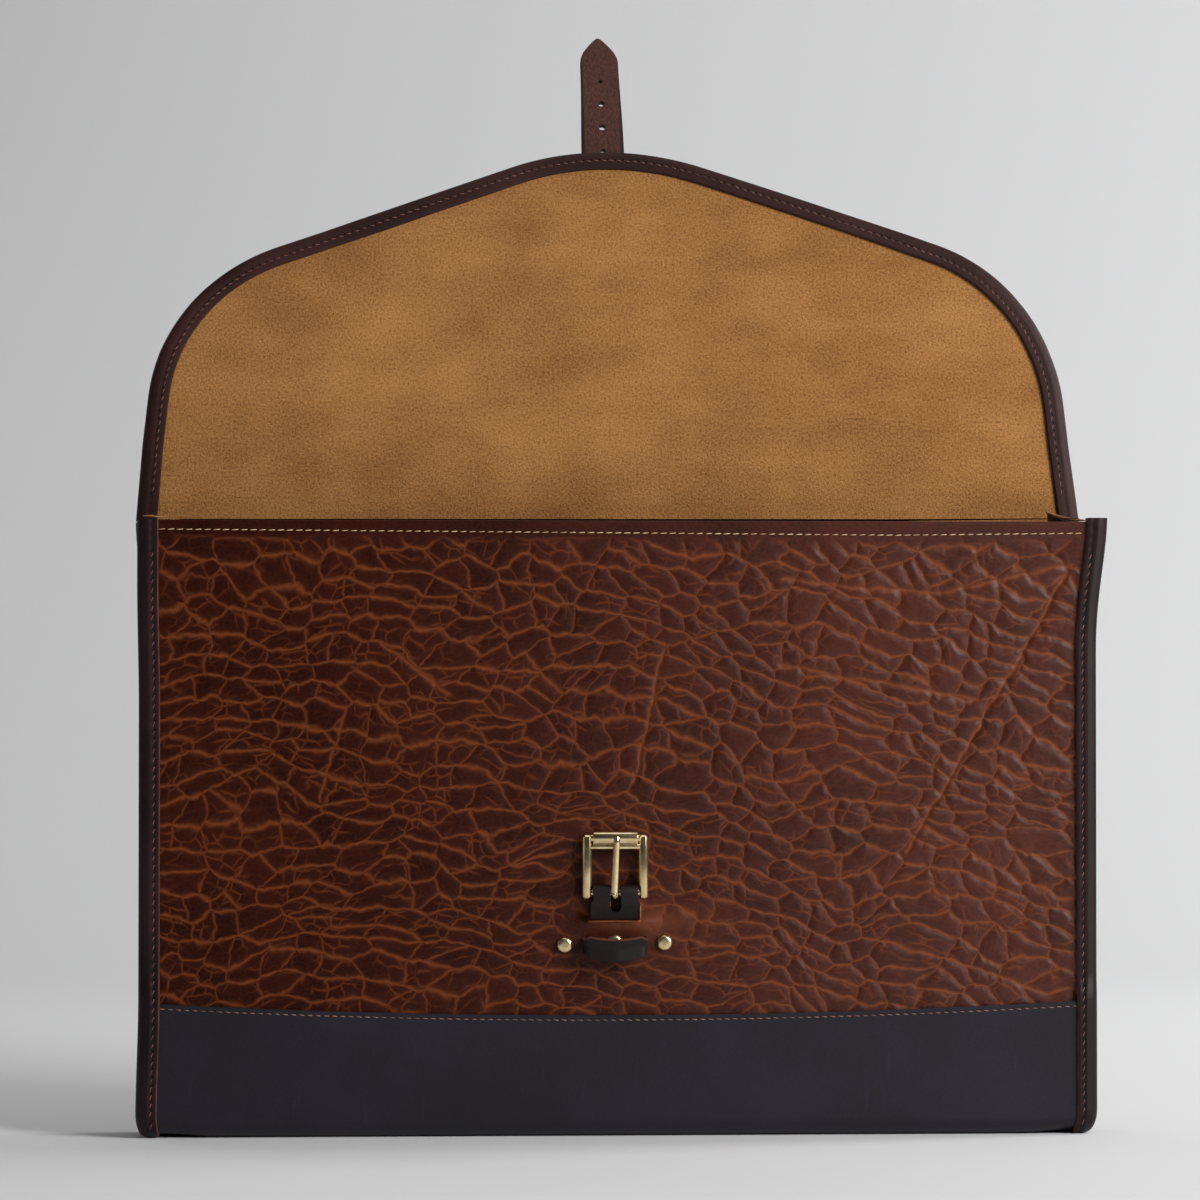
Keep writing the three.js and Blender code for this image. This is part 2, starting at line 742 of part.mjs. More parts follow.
add('front_panel', frontPanel(), grain);
add('back_panel', backPanel(), grain);
add('flap_lining', flapLining(), suede);
add('base_band', baseBand(), smoothLeather);
add('gusset_left', gusset(-1), smoothLeather);
add('gusset_right', gusset(1), smoothLeather);
add('edge_binding_left', edgeBinding(-1), bindingLeather);
add('edge_binding_right', edgeBinding(1), bindingLeather);
add('flap_binding', flapBinding(), bindingLeather);
add('closure_strap', closureStrap(), strapLeather);
add('buckle_chape', buckleChape(), smoothLeather);
add('keeper_loop', keeperLoop(), smoothLeather);
add('buckle_frame', buckleFrame(), brass);
add('buckle_roller', buckleRoller(), brass);
add('buckle_tongue', buckleTongue(), brass);
rivets.forEach((place) => add(place.name, rivet(place), brass));

export default documentCase;
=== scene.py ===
import math

import bmesh
import bpy
import numpy as np
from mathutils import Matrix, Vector


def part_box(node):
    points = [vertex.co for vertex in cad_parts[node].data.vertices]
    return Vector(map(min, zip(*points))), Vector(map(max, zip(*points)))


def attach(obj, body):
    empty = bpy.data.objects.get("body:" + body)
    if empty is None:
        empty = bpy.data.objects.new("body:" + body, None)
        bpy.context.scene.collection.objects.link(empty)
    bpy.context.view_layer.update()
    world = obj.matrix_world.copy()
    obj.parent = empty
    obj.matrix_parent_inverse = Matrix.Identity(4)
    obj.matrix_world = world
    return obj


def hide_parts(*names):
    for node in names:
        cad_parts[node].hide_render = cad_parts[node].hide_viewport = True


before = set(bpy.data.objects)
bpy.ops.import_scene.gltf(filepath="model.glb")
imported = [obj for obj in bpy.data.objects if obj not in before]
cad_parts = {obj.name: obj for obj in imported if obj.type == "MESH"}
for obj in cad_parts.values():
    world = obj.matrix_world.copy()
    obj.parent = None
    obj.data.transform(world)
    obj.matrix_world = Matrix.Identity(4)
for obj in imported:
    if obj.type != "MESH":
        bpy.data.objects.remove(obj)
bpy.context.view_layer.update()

mm = 0.001
scene = bpy.context.scene
frontLow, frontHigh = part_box("front_panel")
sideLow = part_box("edge_binding_left")[0]
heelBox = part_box("buckle_frame")

# Leather thicknesses, and the turns of the case seen from the side
case = {
    "half": -sideLow[0],
    "face": frontLow[1],
    "top": frontHigh[2],
    "bend": 6 * mm,  # radius between walls and base
    "tuck": 1.2 * mm,  # sides drawn in where they turn under
    "corner": 6.5 * mm,  # roundness of the bindings where they turn under
    "hide": 2 * mm,
    "band": 1.6 * mm,
    "gusset": 1.2 * mm,
    "lining": 1 * mm,
    "binding": 1.3 * mm,
    "fit": 0.25 * mm,
    "inset": 3.6 * mm,  # from a binding's edge to the leather in it
    "bindingWidth": 9 * mm,
    "bandHeight": 56.7 * mm,
    "bandDip": 5.6 * mm,
    "middle": -2.5 * mm,  # strap and buckle sit left of the middle
}
flap = {
    "length": 164 * mm,
    "slope": math.radians(20.2),
    "shoulderWidth": 384 * mm,
    "shoulderRadius": 85.5 * mm,
    "pointRadius": 122 * mm,
    "leftLow": 2.1 * mm,  # the left shoulder hangs lower
    "leans": ((0.06, 3), (0.34, 10), (0.6, 22)),  # share of its length, lean at the end of it
    # share of its length, and how far to the right its middle lies there, in millimetres
    "sway": ((0, -2.0), (0.2, -2.8), (0.45, -2.6), (0.6, -1.6), (0.78, 0.6), (0.9, -0.4), (1, -1.6)),
}
strap = {
    "free": 71 * mm,
    "sewn": 46 * mm,
    "lean": 20,
    "width": 18.6 * mm,
    "tipWidth": 16.6 * mm,
    "thick": 2.8 * mm,
    "point": 14.5 * mm,
    "taper": ((0, 1), (0.18, 0.93), (0.36, 0.82), (0.55, 0.63), (0.74, 0.42), (0.9, 0.22), (1, 0.06)),
    "holes": (2.9 * mm, 3.1 * mm, 3.0 * mm, 2.2 * mm),
    "firstHole": 5.8 * mm,
    "pitch": 12.7 * mm,
}


def smoothstep(value, low, high):
    share = np.clip((value - low) / (high - low), 0, 1)
    return share * share * (3 - 2 * share)


def layRoute(y, z, moves):
    legs = []
    s = angle = 0.0
    for length, turn in moves:
        bend = math.radians(turn) / 2
        legs.append((s, y, z, angle, length, 2 * bend))
        chord = length * (math.sin(bend) / bend if bend else 1)
        y += chord * math.sin(angle + bend)
        z -= chord * math.cos(angle + bend)
        s += length
        angle += 2 * bend
    return np.array(legs)


depth = -2 * case["face"]
baseLevel = case["band"] + case["fit"]
endLift = case["binding"] + case["fit"]
quarter = case["bend"] * math.pi / 2
wall = case["top"] - baseLevel - case["bend"]
leanMoves = []
leanBefore = 0
for share, lean in flap["leans"]:
    leanMoves.append((share * flap["length"], leanBefore - lean))
    leanBefore = lean

# The hide's outer face, followed down the front, under, up the back, and along flap and strap
skin = layRoute(case["face"], case["top"], [
    (wall, 0), (quarter, 90), (depth - 2 * case["bend"], 0), (quarter, 90), (wall, 0),
    *leanMoves, (strap["free"], -strap["lean"]),
])
frontBend, baseStart, backBend, backStart, flapStart = skin[1:6, 0]
flapEnd = flapStart + flap["length"]


def onRoute(s):
    s = np.asarray(s, float)
    leg = np.clip(np.searchsorted(skin[:, 0], s, side="right") - 1, 0, len(skin) - 1)
    start, y, z, angle, length, turn = np.moveaxis(skin[leg], -1, 0)
    run = s - start
    bend = turn * run / length / 2
    chord = run * np.sinc(bend / math.pi)
    return y + chord * np.sin(angle + bend), z - chord * np.cos(angle + bend), angle + 2 * bend


def lift(x, z):
    toEnd = smoothstep(np.abs(x), case["half"] - 34 * mm, case["half"] - 11 * mm)
    return endLift * toEnd * (1 - smoothstep(z, case["bend"], case["bend"] + 30 * mm))


def sway(s):
    shares, shifts = np.array(flap["sway"]).T
    onFlap = np.interp((s - flapStart) / flap["length"], shares, shifts * mm)
    return onFlap * smoothstep(s, flapStart - 30 * mm, flapStart)


def place(x, s, out, swaying=True):
    x, s, out = np.broadcast_arrays(x, s, out)
    y, z, angle = onRoute(s)
    y = y - out * np.cos(angle)
    z = z - out * np.sin(angle)
    return np.stack([x + (sway(s) if swaying else 0), y, z + lift(x, z)], -1)


def edge(s):
    turnIn = smoothstep(s, frontBend - 1 * mm, frontBend + quarter + 1 * mm)
    turnOut = smoothstep(s, backBend - 1 * mm, backBend + quarter + 1 * mm)
    return case["half"] - case["tuck"] * (turnIn - turnOut)


def deselectAll():
    if bpy.context.object and bpy.context.object.mode != "OBJECT":
        bpy.ops.object.mode_set(mode="OBJECT")
    bpy.ops.object.select_all(action="DESELECT")


def activate(piece):
    deselectAll()
    piece.select_set(True)
    bpy.context.view_layer.objects.active = piece


def applyModifiers(piece):
    activate(piece)
    for modifier in list(piece.modifiers):
        bpy.ops.object.modifier_apply(modifier=modifier.name)


def settle(piece):
    activate(piece)
    bpy.ops.object.transform_apply(location=True, rotation=True, scale=True)


def bevel(piece, width, segments=2, angle=30):
    rounding = piece.modifiers.new("edge", "BEVEL")
    rounding.width = width
    rounding.segments = segments
    rounding.limit_method = "ANGLE"
    rounding.angle_limit = math.radians(angle)


def faceOutward(piece):
    mesh = bmesh.new()
    mesh.from_mesh(piece.data)
    bmesh.ops.recalc_face_normals(mesh, faces=mesh.faces)
    mesh.to_mesh(piece.data)
    mesh.free()


def finish(piece, material, body="case", stands=(), smooth=40):
    for each in material if isinstance(material, list) else [material]:
        piece.data.materials.append(each)
    activate(piece)
    if smooth:
        bpy.ops.object.shade_smooth_by_angle(angle=math.radians(smooth))
    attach(piece, body)
    if stands:
        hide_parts(*stands)
    return piece


def meshPiece(name, points, faces, flat=None):
    mesh = bpy.data.meshes.new(name)
    mesh.from_pydata(points, [], faces)
    mesh.validate()
    piece = bpy.data.objects.new(name, mesh)
    scene.collection.objects.link(piece)
    if flat is not None:
        layUv(piece, flat)
    return piece


def layUv(piece, flat):
    layer = piece.data.uv_layers.new(name="flat")
    corners = np.empty(len(piece.data.loops), dtype=np.int32)
    piece.data.loops.foreach_get("vertex_index", corners)
    layer.data.foreach_set("uv", np.asarray(flat, np.float32)[corners].ravel())


# Faces of a tube, from its number of rings and the points in each
def tubeFaces(count, size, ends=True):
    faces = []
    for i in range(count - 1):
        for j in range(size):
            a, b = i * size + j, i * size + (j + 1) % size
            faces.append((a, b, b + size, a + size))
    if ends:
        faces.append(tuple(range(size)))
        faces.append(tuple(range((count - 1) * size, count * size)))
    return faces


# Leather sheet: a grid laid flat, each vertex moved to shape(u, v), then given its thickness.
# u runs to the right and v upward, both from -1 to 1, as seen on the outer face.
def leatherSheet(name, columns, rows, shape, thickness, edgeRound=0.0, rim=True, keep=None, even=True):
    deselectAll()
    bpy.ops.mesh.primitive_grid_add(x_subdivisions=columns, y_subdivisions=rows, size=2)
    piece = bpy.context.object
    piece.name = piece.data.name = name
    count = len(piece.data.vertices)
    grid = np.empty(count * 3)
    piece.data.vertices.foreach_get("co", grid)
    u, v = grid.reshape(-1, 3)[:, :2].T
    points, flat = shape(u, v)
    piece.data.vertices.foreach_set("co", np.ascontiguousarray(points, dtype=np.float64).ravel())
    for layer in list(piece.data.uv_layers):
        piece.data.uv_layers.remove(layer)
    layUv(piece, flat)
    if keep is not None:
        kept = keep(u, v)
        mesh = bmesh.new()
        mesh.from_mesh(piece.data)
        mesh.verts.ensure_lookup_table()
        lost = [face for face in mesh.faces if not all(kept[vert.index] for vert in face.verts)]
        bmesh.ops.delete(mesh, geom=lost, context="FACES")
        mesh.to_mesh(piece.data)
        mesh.free()
    piece.data.update()
    thick = piece.modifiers.new("thick", "SOLIDIFY")
    thick.thickness = thickness
    thick.offset = -1
    thick.use_even_offset = even
    thick.material_offset_rim = 1 if rim else 0
    if edgeRound:
        bevel(piece, edgeRound, angle=50)
    applyModifiers(piece)
    return piece


# Shader and geometry nodes written as sums: a Link is a socket that takes +, -, * and /
class Link:
    def __init__(self, tree, socket):
        self.tree = tree
        self.socket = socket

    def maths(self, operation, first, second=None):
        sockets = {0: first} if second is None else {0: first, 1: second}
        return self.tree.node("ShaderNodeMath", {"operation": operation}, sockets)

    def __add__(self, other):
        return self.maths("ADD", self, other)

    def __radd__(self, other):
        return self.maths("ADD", other, self)

    def __sub__(self, other):
        return self.maths("SUBTRACT", self, other)

    def __rsub__(self, other):
        return self.maths("SUBTRACT", other, self)

    def __mul__(self, other):
        return self.maths("MULTIPLY", self, other)

    def __rmul__(self, other):
        return self.maths("MULTIPLY", other, self)

    def __truediv__(self, other):
        return self.maths("DIVIDE", self, other)

    def __rtruediv__(self, other):
        return self.maths("DIVIDE", other, self)

    def __pow__(self, other):
        return self.maths("POWER", self, other)

    def __abs__(self):
        return self.maths("ABSOLUTE", self)

    def __getitem__(self, name):
        return Link(self.tree, self.socket.node.outputs[name])


class Tree:
    def __init__(self, nodeTree):
        self.nodeTree = nodeTree

    def node(self, kind, settings=None, sockets=None, output=0):
        made = self.nodeTree.nodes.new(kind)
        for key, value in (settings or {}).items():
            setattr(made, key, value)
        for key, value in (sockets or {}).items():
            if isinstance(value, Link):
                self.nodeTree.links.new(value.socket, made.inputs[key])
            else:
                made.inputs[key].default_value = value
        return Link(self, made.outputs[output])

    def split(self, vector):
        parts = self.node("ShaderNodeSeparateXYZ", {}, {0: vector})
        return parts["X"], parts["Y"], parts["Z"]

    def join(self, x, y, z=0.0):
        return self.node("ShaderNodeCombineXYZ", {}, {0: x, 1: y, 2: z})

    def vector(self, operation, first, second):
        return self.node("ShaderNodeVectorMath", {"operation": operation}, {0: first, 1: second})

    def spot(self):  # place on the piece, in millimetres
        return self.vector("MULTIPLY", self.node("ShaderNodeTexCoord")["Object"], (1000, 1000, 1000))

    def noise(self, vector, scale, detail=2.0, rough=0.5):
        return self.node("ShaderNodeTexNoise", {},
                         {"Vector": vector, "Scale": scale, "Detail": detail, "Roughness": rough})

    def smooth(self, value, low, high, start=0.0, end=1.0):
        return self.node("ShaderNodeMapRange", {"interpolation_type": "SMOOTHSTEP"},
                         {0: value, 1: low, 2: high, 3: start, 4: end})

    def mix(self, factor, first, second):
        return self.node("ShaderNodeMix", {"data_type": "RGBA"}, {0: factor, 6: first, 7: second}, 2)

    def fade(self, value):
        return self.node("ShaderNodeMath", {"operation": "EXPONENT"}, {0: value})

    def least(self, first, second):
        return self.node("ShaderNodeMath", {"operation": "MINIMUM"}, {0: first, 1: second})

    def most(self, first, second):
        return self.node("ShaderNodeMath", {"operation": "MAXIMUM"}, {0: first, 1: second})


def paint(red, green, blue):
    linear = [c / 12.92 if c <= 0.04045 else ((c + 0.055) / 1.055) ** 2.4
              for c in (red / 255, green / 255, blue / 255)]
    return (*linear, 1.0)


def newMaterial(name, **constants):
    material = bpy.data.materials.new(name)
    material.use_nodes = True
    shader = material.node_tree.nodes["Principled BSDF"]
    for socket, value in constants.items():
        shader.inputs[socket.replace("_", " ")].default_value = value
    return material, Tree(material.node_tree), shader


def feed(tree, shader, **links):
    for socket, link in links.items():
        tree.nodeTree.links.new(link.socket, shader.inputs[socket.replace("_", " ")])


def bump(tree, height, distance, strength=1.0):
    return tree.node("ShaderNodeBump", {}, {"Strength": strength, "Distance": distance, "Height": height})


# Shrunken grain: long creases that run nearly level and drop to the right, cells between them,
# and a hair-fine net inside the cells. The relief and the colour read the same pattern.
grain = {
    "long": (14.0, 9.0),  # spacing across and up, in millimetres
    "cell": (7.6, 5.6),
    "hair": (2.7, 2.1),
    "drop": 0.2,  # how steeply the creases fall to the right, at the middle
    "dropRight": 0.0009,  # more to the right, per millimetre
    "lean": 0.3,  # branches lean to the right going up
    "longDepth": 0.72 * mm,
    "cellDepth": 0.2 * mm,
    "flatLeft": 0.22,  # the relief at the left end, as a share
}
folds = (  # long single creases: from, to, half width, all in millimetres
    ((190, 237), (122, 120), 0.8),
    ((69, 235), (136, 229), 1.1),
    ((136, 229), (193, 242), 1.1),
    ((69, 199), (153, 184), 1.0),
    ((-102, 208), (-72, 187), 0.9),
    ((-116, 180), (-127, 142), 0.6),
    ((18, 205), (6, 150), 0.7),
)
stretchAndHighlight = {"x": 12, "z": 91, "wide": 22, "high": 6}  # paler where stretched over the keeper, with a painted highlight on its bulge, in millimetres


def creaseNet(tree, along, up, spacing, seed):
    wide, high = spacing
    point = tree.join(along / wide + seed, up / high + seed)
    sockets = {"Vector": point, "Scale": 1.0, "Randomness": 0.84}
    first = tree.node("ShaderNodeTexVoronoi", {"voronoi_dimensions": "2D", "feature": "F1"}, sockets)
    second = tree.node("ShaderNodeTexVoronoi", {"voronoi_dimensions": "2D", "feature": "F2"}, sockets)
    apart = tree.vector("SUBTRACT", second["Position"], first["Position"])
    acrossX, acrossY, _ = tree.split(apart)
    near, far = first["Distance"], second["Distance"]
    squareX = acrossX * acrossX
    squareY = acrossY * acrossY
    total = tree.most(squareX + squareY, 0.0004)
    steep = (squareX / (wide * wide) + squareY / (high * high)) ** 0.5
    reach = (far * far - near * near) / 2 / tree.most(steep, 0.0004)
    return reach, squareY / total, first["Color"]


def crease(tree, reach, width):
    share = reach / width
    core = tree.fade(share * share * -1)
    halo = tree.fade(share * -0.75)
    return core * 0.62 + halo * 0.38


def foldReach(tree, x, z, start, end):
    run = math.hypot(end[0] - start[0], end[1] - start[1])
    dx, dz = (end[0] - start[0]) / run, (end[1] - start[1]) / run
    fromX, fromZ = x - start[0], z - start[1]
    share = fromX * dx + fromZ * dz
    past = tree.most(tree.most(share * -1, share - run), 0)
    side = abs(fromX * dz - fromZ * dx)
    return side + past * 0.6


def hidePattern(tree, flat):
    across, down, _ = tree.split(flat)
    x = across * 1000
    z = 260 - down * 1000
    place2d = tree.join(x, z)
    broad = tree.split(tree.noise(place2d, 0.02, 1.0)["Color"])
    close = tree.split(tree.noise(place2d, 0.12, 2.0)["Color"])
    bentX = x + (broad[0] - 0.5) * 34 + (close[0] - 0.5) * 6
    bentZ = z + (broad[1] - 0.5) * 24 + (close[1] - 0.5) * 5
    up = bentZ + bentX * grain["drop"] + bentX * bentX * (grain["dropRight"] / 2)
    along = bentX - up * grain["lean"]
    patchy = tree.noise(place2d, 0.05, 2.0)[0]
    long, longLevel, longCell = creaseNet(tree, along, up, grain["long"], 4.7)
    cell, cellLevel, cellColour = creaseNet(tree, along, up, grain["cell"], 31.3)
    hair = creaseNet(tree, along, up, grain["hair"], 57.9)[0]
    longLine = crease(tree, long, (0.46 + longLevel * 0.4) * (0.45 + patchy)) * (0.72 + longLevel * 0.28)
    kept = tree.smooth(tree.noise(place2d, 0.07, 1.0)[0], 0.42, 0.62)
    cellLine = crease(tree, cell, 0.3 + cellLevel * 0.12 + patchy * 0.1) * (0.05 + kept * 0.55)
    hairLine = crease(tree, hair, 0.25)
    right = tree.smooth(x, -160, 150, grain["flatLeft"], 1.0)
    pillow = 1 - tree.fade(long / -1.7)
    dimple = 1 - tree.fade(cell / -0.9)
    height = pillow * grain["longDepth"] + dimple * (grain["cellDepth"] * (0.2 + kept * 0.8))
    lines = tree.most(longLine, cellLine)
    for start, end, half in folds:
        reach = foldReach(tree, x + (close[0] - 0.5) * 4, z + (close[1] - 0.5) * 4, start, end)
        fold = crease(tree, reach, half)
        lines = tree.most(lines, fold * 0.9)
        height = height - fold * (grain["longDepth"] * 0.9)
    return {"height": height * right, "lines": lines, "hair": hairLine, "long": longCell, "cell": cellColour,
            "place": place2d, "x": x, "z": z}


def hideMaterial(name):
    material, tree, shader = newMaterial(name, Specular_IOR_Level=0.07, Coat_Roughness=0.36)
    flat = tree.node("ShaderNodeUVMap", {"uv_map": "flat"})
    worked = tree.node("ShaderNodeAttribute", {"attribute_name": "relief"}, {}, "Fac")
    pattern = hidePattern(tree, flat)
    place2d = pattern["place"]
    mottle = tree.noise(place2d, 0.3, 3.0, 0.7)[0]
    clouds = tree.noise(place2d, 0.014, 2.0)[0]
    speck = tree.noise(place2d, 1.9, 3.0, 0.75)[0]
    shade = (tree.split(pattern["long"])[0] * 0.3 + tree.split(pattern["cell"])[1] * 0.3 + mottle * 0.5
             + (speck - 0.5) * 0.5)
    body = tree.mix(tree.smooth(shade, 0.2, 0.9), paint(38, 7, 2), paint(63, 19, 9))
    body = tree.mix(tree.smooth(clouds, 0.4, 0.7) * 0.35, body, paint(86, 34, 17))
    body = tree.mix(pattern["hair"] * (0.1 + mottle * 0.3), body, paint(104, 48, 23))
    # painted shade: the cells darken toward the left end, away from the window light
    body = tree.mix(tree.smooth(pattern["x"], -120, 190, 0.5, 0.0), body, paint(27, 4, 1))
    lines = pattern["lines"] * (0.4 + mottle * 0.75) * worked
    toRight = tree.smooth(pattern["x"], -150, 170)
    colour = tree.mix(tree.least(lines, 1.0) * (0.85 + toRight * 0.15), body, paint(132, 68, 33))
    # paler patch over the keeper: stretched leather, plus a painted highlight on the bulge lit from the right
    dx = (pattern["x"] - stretchAndHighlight["x"]) / stretchAndHighlight["wide"]
    dz = (pattern["z"] - stretchAndHighlight["z"]) / stretchAndHighlight["high"]
    stretchAndHighlightMask = tree.fade((dx * dx + dz * dz) * -1.0)
    colour = tree.mix(stretchAndHighlightMask * 0.4, colour, paint(138, 74, 42))
    # painted sheen: a pale pinkish haze over the cells toward the right, where the window light grazes the
    # hide
    colour = tree.mix(toRight * (1 - lines) * 0.16, colour, paint(104, 62, 50))
    grit = tree.noise(place2d, 1.3, 3.0, 0.7)[0]
    fine = grit * 0.35 + mottle * 0.5
    height = fine * (0.3 * mm) + pattern["height"] * worked * 0.6
    feed(tree, shader, Base_Color=colour, Roughness=0.38 + mottle * 0.12 + lines * 0.15,
         Coat_Weight=toRight * 0.34 + 0.03, Normal=bump(tree, height, 1.0, 0.8))
    return material


def raiseGrain(piece):
    group = bpy.data.node_groups.new("raiseGrain", "GeometryNodeTree")
    group.interface.new_socket("Geometry", in_out="INPUT", socket_type="NodeSocketGeometry")
    group.interface.new_socket("Geometry", in_out="OUTPUT", socket_type="NodeSocketGeometry")
    tree = Tree(group)
    surface = tree.node("NodeGroupInput")
    flat = tree.node("GeometryNodeInputNamedAttribute", {"data_type": "FLOAT_VECTOR"}, {"Name": "flat"})
    worked = tree.node("GeometryNodeInputNamedAttribute", {"data_type": "FLOAT"}, {"Name": "relief"})
    height = (hidePattern(tree, flat)["height"] - grain["longDepth"]) * worked
    normal = tree.node("GeometryNodeInputNormal")
    offset = tree.node("ShaderNodeVectorMath", {"operation": "SCALE"}, {0: normal, "Scale": height})
    moved = tree.node("GeometryNodeSetPosition", {}, {"Geometry": surface, "Offset": offset})
    out = group.nodes.new("NodeGroupOutput")
    group.links.new(moved.socket, out.inputs[0])
    modifier = piece.modifiers.new("grain", "NODES")
    modifier.node_group = group
    applyModifiers(piece)


# Hide panel: a fine outer face, and an inner face that only its two sides define
def hidePanel(name, rows, columns, widths, out, relief):
    u = np.linspace(-1, 1, columns)
    x = widths[:, None] * u[None, :]
    s = np.repeat(rows[:, None], columns, 1)
    outer = place(x, s, out(x, s))
    sides, sideRows = np.broadcast_arrays(widths[:, None] * np.array([[-1, 1]]), rows[:, None])
    inner = place(sides, sideRows, -case["hide"])
    count = len(rows)
    points = np.concatenate([outer.reshape(-1, 3), inner.reshape(-1, 3)])
    flat = np.concatenate([np.stack([x, s], -1).reshape(-1, 2),
                           np.stack([sides, sideRows], -1).reshape(-1, 2)])
    first = count * columns
    faces = []
    for i in range(count - 1):
        a = i * columns
        b = a + columns
        faces += [(a + j, b + j, b + j + 1, a + j + 1) for j in range(columns - 1)]
        left, right = first + 2 * i, first + 2 * i + 1
        faces.append((a, left, left + 2, b))
        faces.append((a + columns - 1, b + columns - 1, right + 2, right))
        faces.append((left, right, right + 2, left + 2))
    faces.append([first, *range(columns), first + 1][::-1])
    last = (count - 1) * columns
    faces.append([first + 2 * count - 2, *range(last, last + columns), first + 2 * count - 1])
    piece = meshPiece(name, points.tolist(), faces, flat)
    faceOutward(piece)
    attribute = piece.data.attributes.new("relief", "FLOAT", "POINT")
    values = np.zeros(len(points))
    values[:first] = relief(x, s).ravel()
    attribute.data.foreach_set("value", values)
    raiseGrain(piece)
    return piece


print("materials")
hide = hideMaterial("shrunken_hide")


def smoothLeather(name, dark, light, rough, grainSize, scuffs, gloss=0.2):
    material, tree, shader = newMaterial(name, Specular_IOR_Level=gloss)
    spot = tree.spot()
    clouds = tree.noise(spot, 0.02, 3.0, 0.6)[0]
    grit = tree.noise(spot, grainSize, 3.0, 0.65)[0]
    streak = tree.noise(tree.vector("MULTIPLY", spot, (1.0, 1.0, 0.12)), 0.35, 4.0, 0.7)[0]
    colour = tree.mix(tree.smooth(clouds * 0.6 + grit * 0.4, 0.36, 0.66), dark, light)
    scuff = tree.smooth(streak, 0.6, 0.72) * scuffs
    colour = tree.mix(scuff, colour, tuple(min(1.0, c * 2.2) for c in light[:3]) + (1.0,))
    feed(tree, shader, Base_Color=colour, Roughness=rough + grit * 0.14 - scuff * 0.1,
         Normal=bump(tree, grit + scuff * 0.4, 0.06 * mm, 0.6))
    return material


bandLeather = smoothLeather("band_leather_smooth", paint(13, 9, 18), paint(26, 20, 35), 0.34, 1.0, 0.5,
                            gloss=0.42)
bindingLeather = smoothLeather("binding_leather_smooth", paint(36, 16, 15), paint(58, 31, 28), 0.46, 1.5,
                               0.04)
sideLeather = smoothLeather("side_binding_leather", paint(26, 13, 15), paint(43, 24, 28), 0.38, 1.5, 0.15)
gussetLeather = smoothLeather("gusset_leather_smooth", paint(38, 26, 24), paint(54, 37, 33), 0.45, 1.2, 0.1)
fittingLeather = smoothLeather("fitting_leather_smooth", paint(20, 11, 11), paint(34, 22, 22), 0.38, 1.3, 0.2,
                               gloss=0.26)


def fleshMaterial(name, dark, light):
    material, tree, shader = newMaterial(name, Specular_IOR_Level=0.2)
    spot = tree.spot()
    fibre = tree.noise(spot, 1.4, 4.0, 0.75)[0]
    patch = tree.noise(spot, 0.12, 2.0)[0]
    colour = tree.mix(tree.smooth(fibre * 0.6 + patch * 0.4, 0.35, 0.65), dark, light)
    feed(tree, shader, Base_Color=colour, Roughness=0.75 + fibre * 0.2,
         Normal=bump(tree, fibre, 0.25 * mm, 0.8))
    return material


rawTan = fleshMaterial("raw_edge_tan", paint(128, 82, 50), paint(186, 132, 88))
rawRed = fleshMaterial("raw_edge_red", paint(70, 38, 30), paint(108, 62, 48))


def strapMaterial(name, dark, light):
    material, tree, shader = newMaterial(name, Specular_IOR_Level=0.25)
    spot = tree.spot()
    x, y, z = tree.split(spot)
    fibre = tree.noise(tree.join(x * 1.3, y, z * 0.35), 1.0, 4.0, 0.75)[0]
    grit = tree.noise(spot, 1.6, 3.0, 0.7)[0]
    ragged = abs(x - case["middle"] / mm) + (grit - 0.5) * 1.4
    colour = tree.mix(tree.smooth(fibre * 0.7 + grit * 0.3, 0.36, 0.64), dark, light)
    colour = tree.mix(tree.smooth(ragged, 7.2, 8.6), colour, paint(24, 18, 22))
    feed(tree, shader, Base_Color=colour, Roughness=0.6 + grit * 0.2,
         Normal=bump(tree, fibre + grit, 0.12 * mm, 0.8))
    return material


def suedeMaterial():
    material, tree, shader = newMaterial("brushed_suede", Specular_IOR_Level=0.15, Sheen_Weight=0.35,
                                         Sheen_Roughness=0.5, Sheen_Tint=paint(230, 190, 130))
    flat = tree.node("ShaderNodeUVMap", {"uv_map": "flat"})
    spot = tree.vector("MULTIPLY", flat, (1000, 1000, 1000))
    broad = tree.noise(spot, 0.016, 3.0, 0.55)[0]
    brushed = tree.noise(tree.vector("MULTIPLY", spot, (0.35, 1.0, 1.0)), 0.07, 2.0, 0.6)[0]
    nap = tree.noise(spot, 0.95, 4.0, 0.7)[0]
    fleck = tree.noise(spot, 2.2, 2.0, 0.6)[0]
    x, s, _ = tree.split(spot)
    run = s - flapStart / mm
    streaks = tree.noise(tree.join(x * 0.06, run), 0.9, 4.0, 0.75)[0]
    # two bands of darker streaks across the suede, one toward the left and one toward the right
    darkStreakBands = (tree.smooth(abs(run - 24 - x * 0.01), 0, 7, 1.0, 0.0) * tree.smooth(x, -60, -120)
               + tree.smooth(abs(run - 44 + x * 0.02), 0, 9, 1.0, 0.0) * tree.smooth(x, 0, 110))
    tone = broad * 0.4 + brushed * 0.15 + nap * 0.7
    colour = tree.mix(tree.smooth(tone, 0.42, 0.84), paint(128, 81, 39), paint(194, 138, 80))
    pits = tree.smooth(nap * 0.6 + fleck * 0.4, 0.36, 0.48, 1.0, 0.0)
    colour = tree.mix(pits * 0.5, colour, paint(98, 60, 28))
    colour = tree.mix(tree.smooth(streaks, 0.54, 0.66) * darkStreakBands * 0.5, colour, paint(84, 48, 20))
    feed(tree, shader, Base_Color=colour, Roughness=0.8 + nap * 0.18,
         Normal=bump(tree, nap + fleck * 0.4 + brushed * 1.5, 0.8 * mm, 0.9))
    return material


